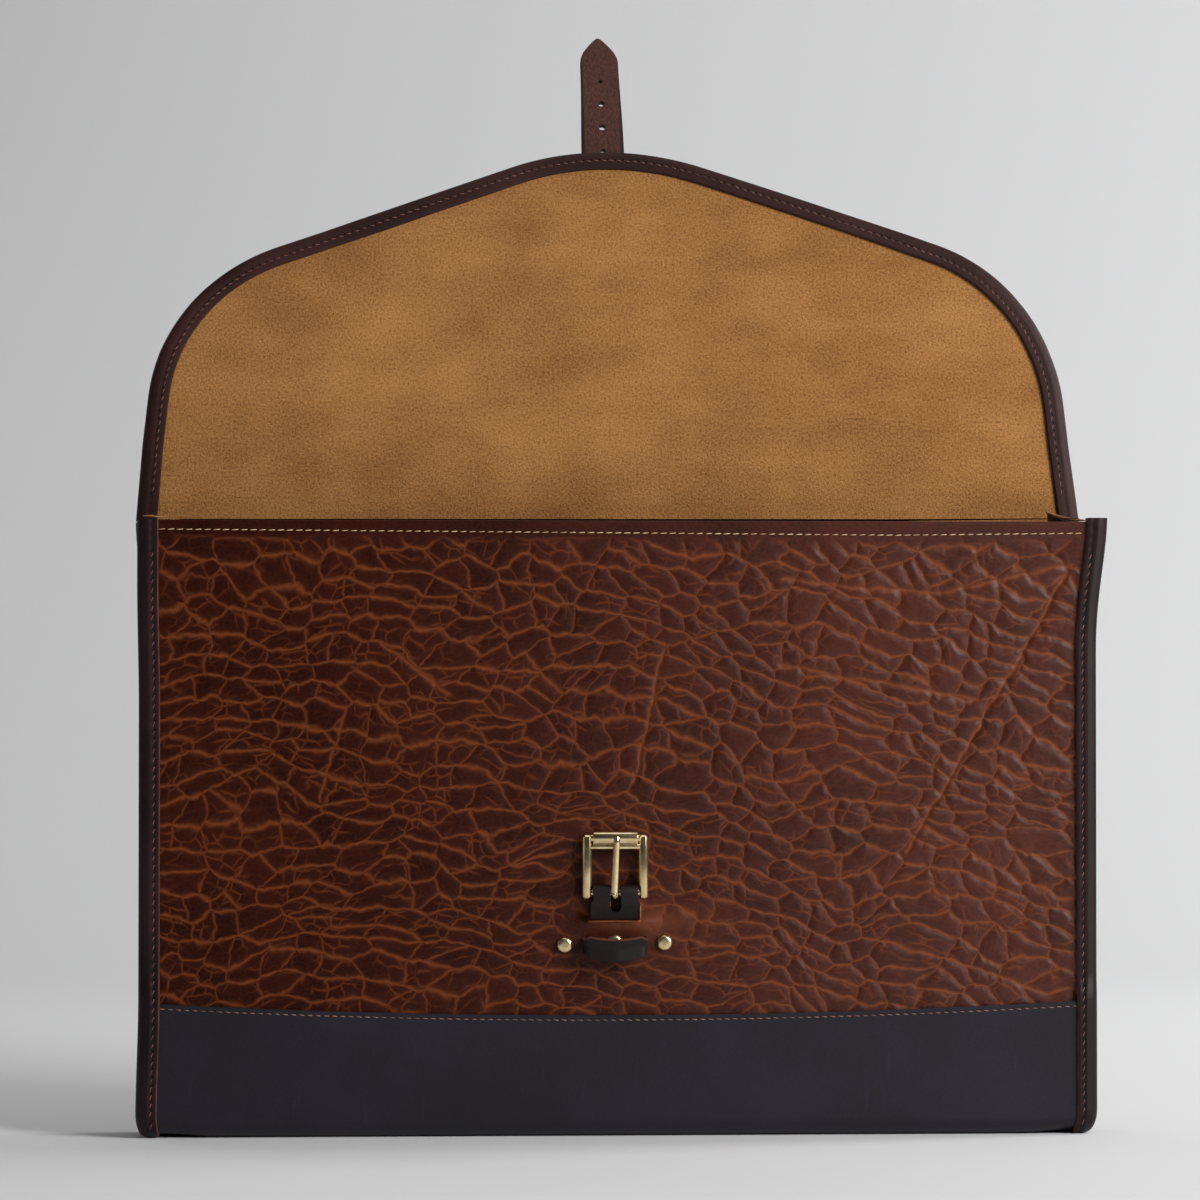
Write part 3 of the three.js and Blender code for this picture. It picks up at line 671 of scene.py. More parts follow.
suede = suedeMaterial()
lipLeather = fleshMaterial("slit_lip_leather", paint(128, 62, 34), paint(176, 100, 60))
strapFlesh = strapMaterial("strap_flesh_side", paint(50, 26, 20), paint(88, 52, 42))

# near black: painted shade inside the awl holes and in the shadow line under the suede
paintedShadeBlack = newMaterial("painted_shade_black", Base_Color=paint(14, 9, 9), Roughness=0.9, Specular_IOR_Level=0.05)[0]


def threadMaterial(name, dark, light):
    material, tree, shader = newMaterial(name, Specular_IOR_Level=0.4)
    spot = tree.node("ShaderNodeTexCoord")["Object"]
    twist = tree.noise(spot, 2200.0, 2.0)[0]
    tone = tree.noise(spot, 60.0, 1.0)[0]
    colour = tree.mix(tree.smooth(twist * 0.5 + tone * 0.5, 0.35, 0.65), dark, light)
    feed(tree, shader, Base_Color=colour, Roughness=0.5 + twist * 0.2)
    return material


creamThread = threadMaterial("thread_cream", paint(168, 128, 92), paint(232, 202, 158))
flapThread = threadMaterial("thread_flap", paint(88, 52, 46), paint(142, 94, 80))
tanThread = threadMaterial("thread_tan", paint(104, 64, 54), paint(172, 118, 98))


def brassMaterial(name, rough):
    material, tree, shader = newMaterial(name, Metallic=1.0, Specular_IOR_Level=0.5)
    spot = tree.node("ShaderNodeTexCoord")["Object"]
    haze = tree.noise(spot, 260.0, 3.0, 0.6)[0]
    rub = tree.noise(tree.vector("MULTIPLY", spot, (1.0, 1.0, 6.0)), 900.0, 2.0)[0]
    colour = tree.mix(tree.smooth(haze, 0.35, 0.7), paint(220, 194, 144), paint(238, 218, 176))
    feed(tree, shader, Base_Color=colour, Roughness=rough + haze * 0.08 + rub * 0.05)
    return material


brass = brassMaterial("brass_polished", 0.12)
rivetBrass = brassMaterial("brass_rivet", 0.2)

print("hide panels")
bandTop = frontBend + case["bend"] + baseLevel - case["bandHeight"]
bandBack = backStart - case["bend"] - baseLevel + case["bandHeight"]
frontEnd = frontBend - 6 * mm
# Depth of the hem's seam below the top edge, at four places across, in millimetres
hem = {"xs": (-192, -109, 119, 197), "depths": (4.1, 4.6, 6.0, 5.0)}


def hemLine(x):
    return np.interp(x, np.array(hem["xs"]) * mm, np.array(hem["depths"]) * mm)


heelZ = heelBox[0][2] + 2.8 * mm
slitZ = heelZ - 12.3 * mm
keeperZ = slitZ - 9.8 * mm
pushed = {"wide": 15 * mm, "high": 7 * mm, "out": 1.9 * mm}  # front hide pushed out under the slit


def saddle(x, s):
    z = case["top"] - s
    dx = (x - case["middle"] - 1 * mm) / pushed["wide"]
    below = (slitZ + 0.6 * mm - z) / pushed["high"]
    rise = np.where(below < 0, np.exp(-(below / 0.1) ** 2), np.exp(-(below / 0.95) ** 2))
    return np.exp(-dx ** 4) * rise


def frontOut(x, s):
    rounding = 0.7 * mm * (1 - np.sqrt(np.clip(1 - (1 - np.clip(s / (0.8 * mm), 0, 1)) ** 2, 0, 1)))
    groove = 0.28 * mm * np.exp(-((s - hemLine(x)) / (0.7 * mm)) ** 2)
    return pushed["out"] * saddle(x, s) - rounding - groove


def frontRelief(x, s):
    belowHem = smoothstep(s, hemLine(x) + 0.6 * mm, hemLine(x) + 6 * mm)
    aboveBand = 1 - smoothstep(s, bandTop + 9 * mm, bandTop + 14 * mm)
    dx = (x - case["middle"]) / (25 * mm)
    dz = (case["top"] - s - keeperZ - 2 * mm) / (9.5 * mm)
    return belowHem * aboveBand * (1 - 0.9 * np.exp(-dx ** 4 - dz ** 4))


rows = np.concatenate([np.array([0, 0.15, 0.4, 0.8]) * mm, np.arange(1.2 * mm, bandTop + 16 * mm, 1.0 * mm),
                       np.linspace(bandTop + 20 * mm, frontEnd, 6)])
frontHide = hidePanel("front_hide", rows, 398, edge(rows) - case["inset"], frontOut, frontRelief)
finish(frontHide, hide, stands=("front_panel",), smooth=70)

# Flap edge: from its base up the straight side, round the shoulder, up the slope to the point
slope = math.tan(flap["slope"])
peak = flap["length"] + 10.8 * mm
shoulderRun = peak + 1.3 * mm - slope * flap["shoulderWidth"] / 2


def roundedLine(corners, step):
    line = []
    for i, (x, y, radius) in enumerate(corners):
        before = corners[i - 1] if i else None
        after = corners[i + 1] if i + 1 < len(corners) else None
        if before is None or after is None:
            one, two = (corners[i], after) if before is None else (before, corners[i])
            angle = math.atan2(two[1] - one[1], two[0] - one[0])
            line.append((x, y, math.sin(angle), -math.cos(angle)))
            continue
        start = math.atan2(y - before[1], x - before[0])
        turn = math.atan2(after[1] - y, after[0] - x) - start
        turn -= 2 * math.pi * round(turn / (2 * math.pi))
        side = 1 if turn > 0 else -1
        run = radius * math.tan(abs(turn) / 2)
        centreX = x - run * math.cos(start) - side * radius * math.sin(start)
        centreY = y - run * math.sin(start) + side * radius * math.cos(start)
        steps = max(2, math.ceil(abs(turn) * radius / step))
        for k in range(steps + 1):
            angle = start + turn * k / steps
            line.append((centreX + side * radius * math.sin(angle), centreY - side * radius * math.cos(angle),
                         math.sin(angle), -math.cos(angle)))
    return np.array(line)


def runsAlong(line):
    return np.concatenate([[0], np.cumsum(np.hypot(*np.diff(line[:, :2], axis=0).T))])


flapEdge = roundedLine([
    (case["half"], 0, 0),
    (flap["shoulderWidth"] / 2, shoulderRun, flap["shoulderRadius"]),
    (0, peak, flap["pointRadius"]),
    (-flap["shoulderWidth"] / 2, shoulderRun - flap["leftLow"], flap["shoulderRadius"] - 4 * mm),
    (-case["half"], 0, 0),
], 2 * mm)


def flapWidth(s, inset):
    right = flapEdge[flapEdge[:, 0] > 0]
    x = right[:, 0] - inset * right[:, 2]
    y = right[:, 1] - inset * right[:, 3]
    return np.where(s < flapStart, edge(s) - inset, np.interp(s - flapStart, y, x))


backRows = np.concatenate([
    [frontEnd + 0.5 * mm], np.linspace(frontBend, baseStart, 8), np.linspace(backBend, backStart, 8),
    np.linspace(backStart + 6 * mm, bandBack - 14 * mm, 5),
    np.arange(bandBack - 10 * mm, flapEnd - case["inset"], 1.5 * mm), [flapEnd - case["inset"]],
])


def backRelief(x, s):
    fromEdge = flapWidth(s, case["inset"]) - np.abs(x)
    underStrap = 1 - smoothstep(np.abs(x - case["middle"]), 9.6 * mm, 12 * mm)
    sewn = underStrap * smoothstep(s, flapEnd - strap["sewn"] - 3 * mm, flapEnd - strap["sewn"] + 1 * mm)
    overBand = smoothstep(s, bandBack - 12 * mm, bandBack - 6 * mm)
    return overBand * smoothstep(fromEdge, 1 * mm, 6 * mm) * (1 - sewn)


backWidths = flapWidth(backRows, case["inset"])
backWidths[-1] = 4 * mm
backHide = hidePanel("back_hide", backRows, 267, backWidths, lambda x, s: 0 * x, backRelief)
finish(backHide, hide, stands=("back_panel",), smooth=70)

print("lining")
lining = {"low": backStart + 16 * mm, "columns": 190, "rows": 210}


def liningShape(u, v):
    high = flapEnd - case["inset"]
    s = high + (lining["low"] - high) * (v + 1) / 2
    inside = case["half"] - 10 * mm - case["gusset"] - 1.5 * mm
    width = np.where(s < flapStart + 1 * mm, inside, flapWidth(s, case["inset"]))
    width = np.maximum(width, 4 * mm)
    x = u * width
    run = (s - flapStart) * 1000
    low = 0.35 * np.exp(-((run - 44 - x * 18) / 2.2) ** 2) * (0.5 + 0.5 * np.sin(x * 45 + 1))
    low += 0.3 * np.exp(-((run - 37 + x * 25) / 1.8) ** 2) * (0.5 + 0.5 * np.sin(x * 31 + 4))
    soft = 0.35 * np.sin(x * 38 + run * 0.05) * np.sin(run * 0.06 + x * 9) * smoothstep(run, 4, 30)
    out = -case["hide"] - case["fit"] - (low * 0.5 + soft * 0.4) * mm * 0.5 - 0.1 * mm
    return place(x, s, out), np.stack([x, s], -1)


suedeLining = leatherSheet("suede_lining", lining["columns"], lining["rows"], liningShape, case["lining"],
                           rim=False)
finish(suedeLining, suede, stands=("flap_lining",), smooth=60)

print("base band")


def bandShape(u, v):
    span = np.array([bandTop, bandTop + 0.3 * mm, bandTop + 2 * mm, frontBend - 8 * mm, frontBend, baseStart,
                     backBend, backStart, backStart + 8 * mm, bandBack - 2 * mm, bandBack])
    share = np.array([0, 0.01, 0.03, 0.3, 0.36, 0.46, 0.54, 0.64, 0.7, 0.97, 1])
    s = np.interp((1 - v) / 2, share, span)
    dip = case["bandDip"] * (1 - u * u)
    s = s + dip * (1 - smoothstep(s, bandTop, frontBend)) - dip * smoothstep(s, backStart, bandBack)
    x = u * (edge(s) - case["inset"])
    return place(x, s, case["fit"] + case["band"]), np.stack([x, s], -1)


baseBand = leatherSheet("band", 90, 110, bandShape, case["band"], 0.3 * mm)
finish(baseBand, [bandLeather, rawRed], stands=("base_band",))

print("gussets")
gusset = {"pleat": 6 * mm, "rise": (-1.5 * mm, 4.8 * mm), "root": case["bindingWidth"] + 2 * case["fit"]}


def gussetShape(side):
    def shape(u, v):
        reach = depth / 2 - case["hide"] - case["fit"] - case["gusset"]
        t = u * side
        wallShare = np.clip(1 - np.abs(t) / 0.86, 0, 1)
        up = (v + 1) / 2
        turned = np.clip((np.abs(t) - 0.55) / 0.45, 0, 1)
        corner = case["bend"] * (1 - np.sqrt(1 - turned ** 2))
        low = baseLevel + endLift + case["hide"] + 1.4 * mm + corner
        high = case["top"] + gusset["rise"][side > 0] * (1 - np.abs(t)) ** 1.3 - 0.4 * mm
        z = low + (high - low) * up
        inward = smoothstep(z, 28 * mm, case["top"])
        fold = gusset["pleat"] * inward * (1 - (1 - wallShare) ** 1.4)
        fold += 1.5 * mm * smoothstep(wallShare, 0, 0.3)
        flange = (gusset["root"] - case["inset"]) * smoothstep(wallShare, 0, 0.02)
        tuck = case["tuck"] * (1 - smoothstep(z, 4 * mm, 16 * mm))
        x = case["half"] - tuck - case["inset"] - flange - fold
        y = reach * np.sign(t) * np.minimum(np.abs(t) / 0.86, 1) ** 0.9
        return np.stack([side * x, y, z], -1), np.stack([t * 0.05, z], -1)
    return shape


for side, label in ((-1, "left"), (1, "right")):
    piece = leatherSheet(f"gusset_{label}_soft", 60, 90, gussetShape(side), case["gusset"], 0.15 * mm,
                         even=False)
    faceOutward(piece)
    finish(piece, [gussetLeather, rawTan], stands=(f"gusset_{label}",))

print("bindings")


# Binding: the folded strip's section, swept over stations (x, s, normal x, normal s)
def foldSection(out, inward, width, line, pucker, plump):
    thick = case["binding"]
    radius = (out + inward) / 2
    middle = (out - inward) / 2
    centre = radius + thick
    bow = np.linspace(1, 0, 12)[:-1]

    def leg(level, sign):
        inset = centre + (width - centre) * bow
        crown = plump * np.sin(np.clip((inset - 0.2 * width) / (0.8 * width), 0, 1) * math.pi) ** 0.8
        pinch = pucker * np.exp(-((inset - line) / (0.95 * mm)) ** 2)
        return np.stack([inset, level + sign * (crown - pinch)], -1)

    turn = np.linspace(-math.pi / 2, math.pi / 2, 13)
    outerTurn = np.stack([centre - centre * np.cos(turn), middle - centre * np.sin(turn)], -1)
    innerTurn = np.stack([centre - radius * np.cos(turn), middle - radius * np.sin(turn)], -1)
    face = leg(out + thick, 1)
    back = leg(-inward - thick, -1)[::-1]
    ends = [(width, out + 0.45 * thick), (width, out)]
    insides = [(width, -inward), (width, -inward - 0.7 * thick)]
    face[0, 0] -= 0.5 * mm
    back[-1, 0] -= 0.5 * mm
    return np.concatenate([ends[::-1], face, outerTurn, back, insides[::-1], innerTurn[::-1]])


def bindingPiece(name, stations, outs, inward, line, pitch, plump, splay=None):
    arc = runsAlong(stations)
    rings = []
    for (x, s, nx, ns), out, run in zip(stations, outs, arc):
        pucker = (0.8 + 0.5 * math.cos(2 * math.pi * run / pitch)) * plump
        section = foldSection(out, inward, case["bindingWidth"], line, pucker, plump)
        ring = place(x - section[:, 0] * nx, s - section[:, 0] * ns, section[:, 1])
        rings.append(ring if splay is None else splay(ring))
    rings = np.array(rings)
    count, size = rings.shape[:2]
    piece = meshPiece(name, rings.reshape(-1, 3).tolist(), tubeFaces(count, size, False))
    mesh = bmesh.new()
    mesh.from_mesh(piece.data)
    loops = [edgeLoop for edgeLoop in mesh.edges if edgeLoop.is_boundary]
    bmesh.ops.edgeloop_fill(mesh, edges=loops)
    ends = [face for face in mesh.faces if len(face.verts) > 4]
    for face in ends:
        face.material_index = 1
    mesh.faces.ensure_lookup_table()
    for index in range((count - 1) * size):
        if index % size in (0, 1):
            mesh.faces[index].material_index = 2
    bmesh.ops.triangulate(mesh, faces=ends)
    bmesh.ops.recalc_face_normals(mesh, faces=mesh.faces)
    mesh.to_mesh(piece.data)
    mesh.free()
    return piece


# Stitch: a short thread end to end of two awl holes, modelled once and copied along a seam
def stitchShape():
    deselectAll()
    bpy.ops.mesh.primitive_uv_sphere_add(segments=8, ring_count=6, radius=1)
    seed = bpy.context.object
    points = np.array([tuple(vertex.co) for vertex in seed.data.vertices])
    faces = [tuple(face.vertices) for face in seed.data.polygons]
    bpy.data.objects.remove(seed, do_unlink=True)
    points[:, 2] = np.sign(points[:, 2]) * np.abs(points[:, 2]) ** 0.8
    return points, faces


stitchPoints, stitchFaces = stitchShape()


def stitchRun(name, centres, directions, normals, length, thick, material):
    points = []
    faces = []
    for centre, along, up in zip(centres, directions, normals):
        along = along / np.linalg.norm(along)
        across = np.cross(up, along)
        across /= np.linalg.norm(across)
        up = np.cross(along, across)
        base = len(points)
        local = (stitchPoints[:, 2:3] * along * length / 2 + stitchPoints[:, 0:1] * across * thick / 2
                 + stitchPoints[:, 1:2] * up * thick / 2)
        droop = (stitchPoints[:, 2:3] ** 2) * up * thick * 0.45
        points.extend((centre + local - droop).tolist())
        faces.extend(tuple(base + k for k in face) for face in stitchFaces)
    piece = meshPiece(name, points, faces)
    return finish(piece, material, smooth=80)


def awlHoles(name, centres, normals):
    points = []
    faces = []
    for centre, up in zip(centres, normals):
        up = up / np.linalg.norm(up)
        across = np.cross(up, (0.3, 0.2, 1.0))
        across /= np.linalg.norm(across)
        along = np.cross(up, across)
        base = len(points)
        for k in range(8):
            turn = k * math.pi / 4
            points.append((centre + (across * math.cos(turn) + along * math.sin(turn)) * 0.42 * mm).tolist())
        points.append((centre + up * 0.3 * mm).tolist())
        points.append((centre - up * 0.5 * mm).tolist())
        faces.extend((base + k, base + (k + 1) % 8, base + 8) for k in range(8))
        faces.extend((base + (k + 1) % 8, base + k, base + 9) for k in range(8))
    return finish(meshPiece(name, points, faces), paintedShadeBlack, smooth=80)


def bodyStations(side):
    s = np.concatenate([
        np.arange(0, frontBend - 8 * mm, 1.0 * mm), np.linspace(frontBend - 8 * mm, frontBend, 6)[:-1],
        np.linspace(frontBend, baseStart, 12)[:-1], np.linspace(baseStart, backBend, 14)[:-1],
        np.linspace(backBend, backStart, 12)[:-1], np.arange(backStart, flapStart - case["fit"], 1.0 * mm),
        [flapStart - case["fit"]],
    ])
    return np.stack([side * edge(s), s, np.full_like(s, side), np.zeros_like(s)], -1)


def bodyOut(s):
    over = smoothstep(s, bandTop - 12 * mm, bandTop) - smoothstep(s, bandBack, bandBack + 12 * mm)
    return case["fit"] + (case["band"] + case["fit"]) * over


def roundCorner(ring, half):
    below = np.clip(case["corner"] - ring[:, 2], 0, case["corner"])
    limit = half - case["corner"] + np.sqrt(case["corner"] ** 2 - below ** 2)
    ring[:, 0] = np.where(below > 0, np.clip(ring[:, 0], -limit, limit), ring[:, 0])
    return ring


# The right strip is cut open at its top and splays outward; the left one leans a little
def splayRight(ring):
    ring = ring.copy()
    spread = smoothstep(ring[:, 2], case["top"] - 58 * mm, case["top"] + 6 * mm) ** 1.3 * (ring[:, 1] < 0)
    ring[:, 0] += 5.2 * mm * spread
    ring[:, 2] += 1.6 * mm * spread * smoothstep(ring[:, 2], case["top"] - 8 * mm, case["top"])
    return roundCorner(ring, case["half"])


def splayLeft(ring):
    ring = ring.copy()
    low = (1 - smoothstep(ring[:, 2], 4 * mm, 60 * mm)) * (ring[:, 1] < 0)
    high = smoothstep(ring[:, 2], case["top"] - 80 * mm, case["top"] - 25 * mm) * (ring[:, 1] < 0)
    ring[:, 0] -= 1.2 * mm * low + 0.8 * mm * high
    return roundCorner(ring, case["half"] + 1.2 * mm)


seam = {"line": 6.3 * mm, "pitch": 3.75 * mm, "flapLine": 5.2 * mm, "flapPitch": 3.55 * mm}
bodyInward = case["hide"] + case["gusset"] + 2 * case["fit"]
for side, label, splay in ((-1, "left", splayLeft), (1, "right", splayRight)):
    stations = bodyStations(side)
    piece = bindingPiece(f"binding_{label}", stations, bodyOut(stations[:, 1]), bodyInward,
                         seam["line"], seam["pitch"], 0.3 * mm, splay)
    finish(piece, [sideLeather, sideLeather, rawRed], stands=(f"edge_binding_{label}",))
    for part, start, end in (("front", 15 * mm, frontBend + 4 * mm),
                             ("back", backStart - 4 * mm, flapStart - 6 * mm)):
        s = np.arange(start, end, seam["pitch"])
        x = side * (edge(s) - seam["line"])
        out = bodyOut(s) + case["binding"] + 0.12 * mm
        centres = splay(place(x, s, out))
        ahead = splay(place(x + 0.35 * mm, s - 0.9 * mm, out))
        outward = splay(place(x, s, out + 1 * mm)) - centres
        stitchRun(f"stitches_{part}_{label}", centres, ahead - centres, outward, 2.4 * mm, 0.44 * mm,
                  flapThread)
        awlHoles(f"awl_{part}_{label}", centres + (ahead - centres) * 1.95, outward)

flapStations = []
for one, two in zip(flapEdge[:-1], flapEdge[1:]):
    steps = max(1, round(math.hypot(two[0] - one[0], two[1] - one[1]) / (1.0 * mm)))
    flapStations.extend(one + (two - one) * (k / steps) for k in range(steps))
flapStations.append(flapEdge[-1])
flapStations = np.array(flapStations)
lengths = np.hypot(flapStations[:, 2], flapStations[:, 3])
flapStations[:, 2:] /= lengths[:, None]
flapStations[0, 2:] = (1, 0)
flapStations[-1, 2:] = (-1, 0)
for k in range(1, 12):
    blend = k / 12
    for index, sign in ((k, 1), (-1 - k, -1)):
        flat = np.array([sign, 0.0]) * (1 - blend) + flapStations[index, 2:] * blend
        flapStations[index, 2:] = flat / np.linalg.norm(flat)
flapStations[:, 1] = np.maximum(flapStations[:, 1], case["fit"]) + flapStart
flapInward = case["hide"] + case["lining"] + 2 * case["fit"]
piece = bindingPiece("binding_flap", flapStations, np.full(len(flapStations), case["fit"]), flapInward,
                     seam["flapLine"], seam["flapPitch"], 0.14 * mm)
finish(piece, [bindingLeather, bindingLeather, rawRed], stands=("flap_binding",))

arc = runsAlong(flapStations)
runs = np.arange(14 * mm, arc[-1] - 14 * mm, seam["flapPitch"])
for part, level, sign in (("inside", -flapInward - case["binding"] - 0.1 * mm, -1),
                          ("outside", case["fit"] + case["binding"] + 0.1 * mm, 1)):
    at = np.stack([np.interp(runs, arc, flapStations[:, c]) for c in range(4)], -1)
    line = seam["flapLine"] + 1.1 * mm * smoothstep(np.abs(at[:, 0]), 60 * mm, 190 * mm)
    x, s = at[:, 0] - line * at[:, 2], at[:, 1] - line * at[:, 3]
    centres = place(x, s, level)
    tangent = np.stack([-at[:, 3], at[:, 2]], -1)
    slant = 0.32 * at[:, 2:]
    ahead = place(x + (tangent[:, 0] + slant[:, 0]) * mm, s + (tangent[:, 1] + slant[:, 1]) * mm, level)
    outward = (place(x, s, level + mm) - centres) * sign
    keepers = np.abs(x - case["middle"]) > (0 if sign < 0 else 11 * mm)
    stitchRun(f"stitches_flap_{part}", centres[keepers], (ahead - centres)[keepers], outward[keepers],
              2.3 * mm, 0.44 * mm, flapThread)
    holes = centres + (ahead - centres) * 1.75 - outward * 0.05
    awlHoles(f"awl_flap_{part}", holes[keepers], outward[keepers])

print("hem and band stitches")
xs = np.arange(-case["half"] + 9.5 * mm, case["half"] - 4.5 * mm, 3.85 * mm)
centres = place(xs, hemLine(xs), -0.12 * mm)
ahead = place(xs + mm, hemLine(xs + mm) - 0.08 * mm, -0.12 * mm)
outward = place(xs, hemLine(xs), 1 * mm) - centres
stitchRun("stitches_hem", centres, ahead - centres, outward, 3.0 * mm, 0.44 * mm, creamThread)
for part, sign in (("front", 1), ("back", -1)):
    xs = np.arange(-case["half"] + 10 * mm, case["half"] - 9.5 * mm, 3.45 * mm)
    dip = case["bandDip"] * (1 - (xs / (case["half"] - case["inset"])) ** 2)
    s = bandTop + dip + 2.1 * mm if sign > 0 else bandBack - dip - 2.1 * mm
    level = case["fit"] + case["band"] + 0.05 * mm
    centres = place(xs, s, level)
    ahead = place(xs + mm, s + 0.12 * mm, level)
    outward = place(xs, s, level + mm) - centres
    stitchRun(f"stitches_band_{part}", centres, ahead - centres, outward, 2.4 * mm, 0.46 * mm, tanThread)

print("strap")


def makeStrap():
    length = strap["sewn"] + strap["free"]
    alongPoint, widths = zip(*strap["taper"])
    deselectAll()
    bpy.ops.mesh.primitive_grid_add(x_subdivisions=12, y_subdivisions=110, size=2)
    piece = bpy.context.object
    piece.name = piece.data.name = "strap_pointed"
    for vertex in piece.data.vertices:
        u, v = vertex.co.x, vertex.co.y
        run = length * (v + 1) / 2
        free = smoothstep(run, strap["sewn"], length - strap["point"])
        width = strap["width"] + (strap["tipWidth"] - strap["width"]) * free
        toTip = (run - (length - strap["point"])) / strap["point"]
        width *= np.interp(toTip, alongPoint, widths)
        vertex.co = (u * width / 2, run, 0)
    thick = piece.modifiers.new("thick", "SOLIDIFY")
    thick.thickness = strap["thick"]
    thick.offset = 1
    thick.material_offset_rim = 1
    applyModifiers(piece)
    cutters = []
    for i in range(4):
        run = strap["sewn"] + strap["firstHole"] + i * strap["pitch"]
        bpy.ops.mesh.primitive_cylinder_add(vertices=24, radius=strap["holes"][i] / 2, depth=10 * mm,
                                            location=(0, run, 0))
        cutters.append(bpy.context.object)
    for cutter in cutters:
        hole = piece.modifiers.new("hole", "BOOLEAN")
        hole.operation = "DIFFERENCE"
        hole.solver = "EXACT"
        hole.object = cutter
    applyModifiers(piece)
    for cutter in cutters:
        bpy.data.objects.remove(cutter, do_unlink=True)
    bevel(piece, 0.35 * mm, angle=60)
    applyModifiers(piece)
    points = np.array([tuple(vertex.co) for vertex in piece.data.vertices])
    s = flapEnd - strap["sewn"] + points[:, 1]
    over = smoothstep(s, flapEnd - 17 * mm, flapEnd - 10 * mm)
    level = case["fit"] + (case["fit"] + case["binding"] + 0.35 * mm) * over
    bent = place(case["middle"] + points[:, 0], s, level + points[:, 2], swaying=False)
    piece.data.vertices.foreach_set("co", bent.ravel())
    piece.data.update()
    return piece


strapPiece = makeStrap()
finish(strapPiece, [strapFlesh, rawRed], stands=("closure_strap",), smooth=50)

print("buckle strap and keeper")
fitting = {
    "chapeWidth": 21 * mm, "thick": 1.6 * mm, "barRadius": 1.6 * mm, "run": 0.3 * mm, "slot": 4.3 * mm,
    "slotEnd": heelZ - 8.4 * mm, "inner": 19.6 * mm, "keeperWidth": 26.6 * mm, "keeperHeight": 9 * mm,
    "keeperArch": 6.5 * mm, "keeperDroop": 2.2 * mm, "span": 23 * mm,
}
heelY = case["face"] - case["fit"] - fitting["thick"] - fitting["run"] - fitting["barRadius"]


def alongLine(line, share):
    arc = runsAlong(line)
    run = np.clip(share, 0, 1) * arc[-1]
    return np.interp(run, arc, line[:, 0]), np.interp(run, arc, line[:, 1])


def makeChape():
    t = fitting["thick"]
    wrap = fitting["barRadius"] + fitting["run"] + t
    back = case["face"] + 1.2 * mm
    line = roundedLine([
        (back, slitZ + 0.5 * t, 0),
        (heelY + 0.2 * mm, slitZ + 0.35 * t, 1.7 * mm),
        (heelY - wrap, heelZ - 4 * mm, 9 * mm),
        (heelY - wrap, heelZ + wrap, wrap),
        (heelY + wrap, heelZ + wrap, wrap),
        (heelY + wrap, slitZ + 1.9 * t, 1.2 * mm),
        (back, slitZ + 1.8 * t, 0),
    ], 0.5 * mm)

    def shape(u, v):
        y, z = alongLine(line, (v + 1) / 2)
        narrow = (fitting["inner"] - 0.7 * mm) / fitting["chapeWidth"]
        upper = smoothstep(z, heelZ - 4.6 * mm, heelZ - 3.0 * mm)
        x = u * fitting["chapeWidth"] / 2 * (1 + (narrow - 1) * upper)
        bulge = -0.35 * mm * (1 - u ** 2) * smoothstep(-y, -heelY, -heelY + 3 * mm)
        return np.stack([case["middle"] + x, y + bulge, z], -1), np.stack([x, z], -1)

    def keep(u, v):
        y, z = alongLine(line, (v + 1) / 2)
        x = u * fitting["chapeWidth"] / 2
        bottom = fitting["slotEnd"] + fitting["slot"] / 2
        inSlot = (np.abs(x) < fitting["slot"] / 2 - 0.2 * mm) & (z > bottom)
        inEnd = np.hypot(x, z - bottom) < fitting["slot"] / 2 - 0.2 * mm
        return ~(inSlot | inEnd)

    return leatherSheet("chape", 44, 110, shape, t, 0.22 * mm, keep=keep)


finish(makeChape(), [fittingLeather, rawTan], stands=("buckle_chape",))


def makeKeeper():
    reach = fitting["keeperWidth"] / 2
    arch = fitting["keeperArch"] + fitting["thick"]
    inside = case["face"] + 1.2 * mm
    line = roundedLine([
        (-reach, inside, 0),
        (-reach, case["face"] - arch + 1.0 * mm, 2.6 * mm),
        (0, case["face"] - arch - 0.6 * mm, 14 * mm),
        (reach, case["face"] - arch + 1.0 * mm, 2.6 * mm),
        (reach, inside, 0),
    ], 0.6 * mm)

    def shape(u, v):
        x, y = alongLine(line, (u + 1) / 2)
        forward = smoothstep(case["face"] - y, 2 * mm, arch)
        droop = fitting["keeperDroop"] * forward * (1 - (x / reach) ** 2 * 0.75)
        corner = 1.7 * mm * smoothstep(np.abs(x) / reach, 0.8, 1.0)
        z = keeperZ + v * (fitting["keeperHeight"] / 2 - corner) - droop
        bow = -1.2 * mm * smoothstep(v, 0.1, 1) * forward
        return np.stack([case["middle"] + x, y + bow, z], -1), np.stack([x, z], -1)

    top, _ = shape(np.linspace(-0.97, 0.97, 40), np.ones(40))
    return leatherSheet("keeper", 80, 14, shape, fitting["thick"], 0.25 * mm), top + (0, 0.3 * mm, 0.05 * mm)


keeper, keeperTop = makeKeeper()
finish(keeper, [fittingLeather, rawRed], stands=("keeper_loop",))


# Thin rounded cord of leather along a line of points
def edgeCord(name, line, radius, flat, material, slot):
    line = np.array(line) * mm
    points = []
    for i, at in enumerate(line):
        ahead = line[min(i + 1, len(line) - 1)] - line[max(i - 1, 0)]
        ahead /= np.linalg.norm(ahead)
        out = np.cross(ahead, (0, 0, 1))
        out /= np.linalg.norm(out)
        up = np.cross(out, ahead)
        small = 0.35 if i in (0, len(line) - 1) else 1
        for k in range(10):
            turn = k * math.pi / 5
            around = out * math.cos(turn) * flat + up * math.sin(turn) * radius
            points.append((at + around * small * mm).tolist())
    piece = meshPiece(name, points, tubeFaces(len(line), 10))
    faceOutward(piece)
    return finish(piece, material, smooth=60)


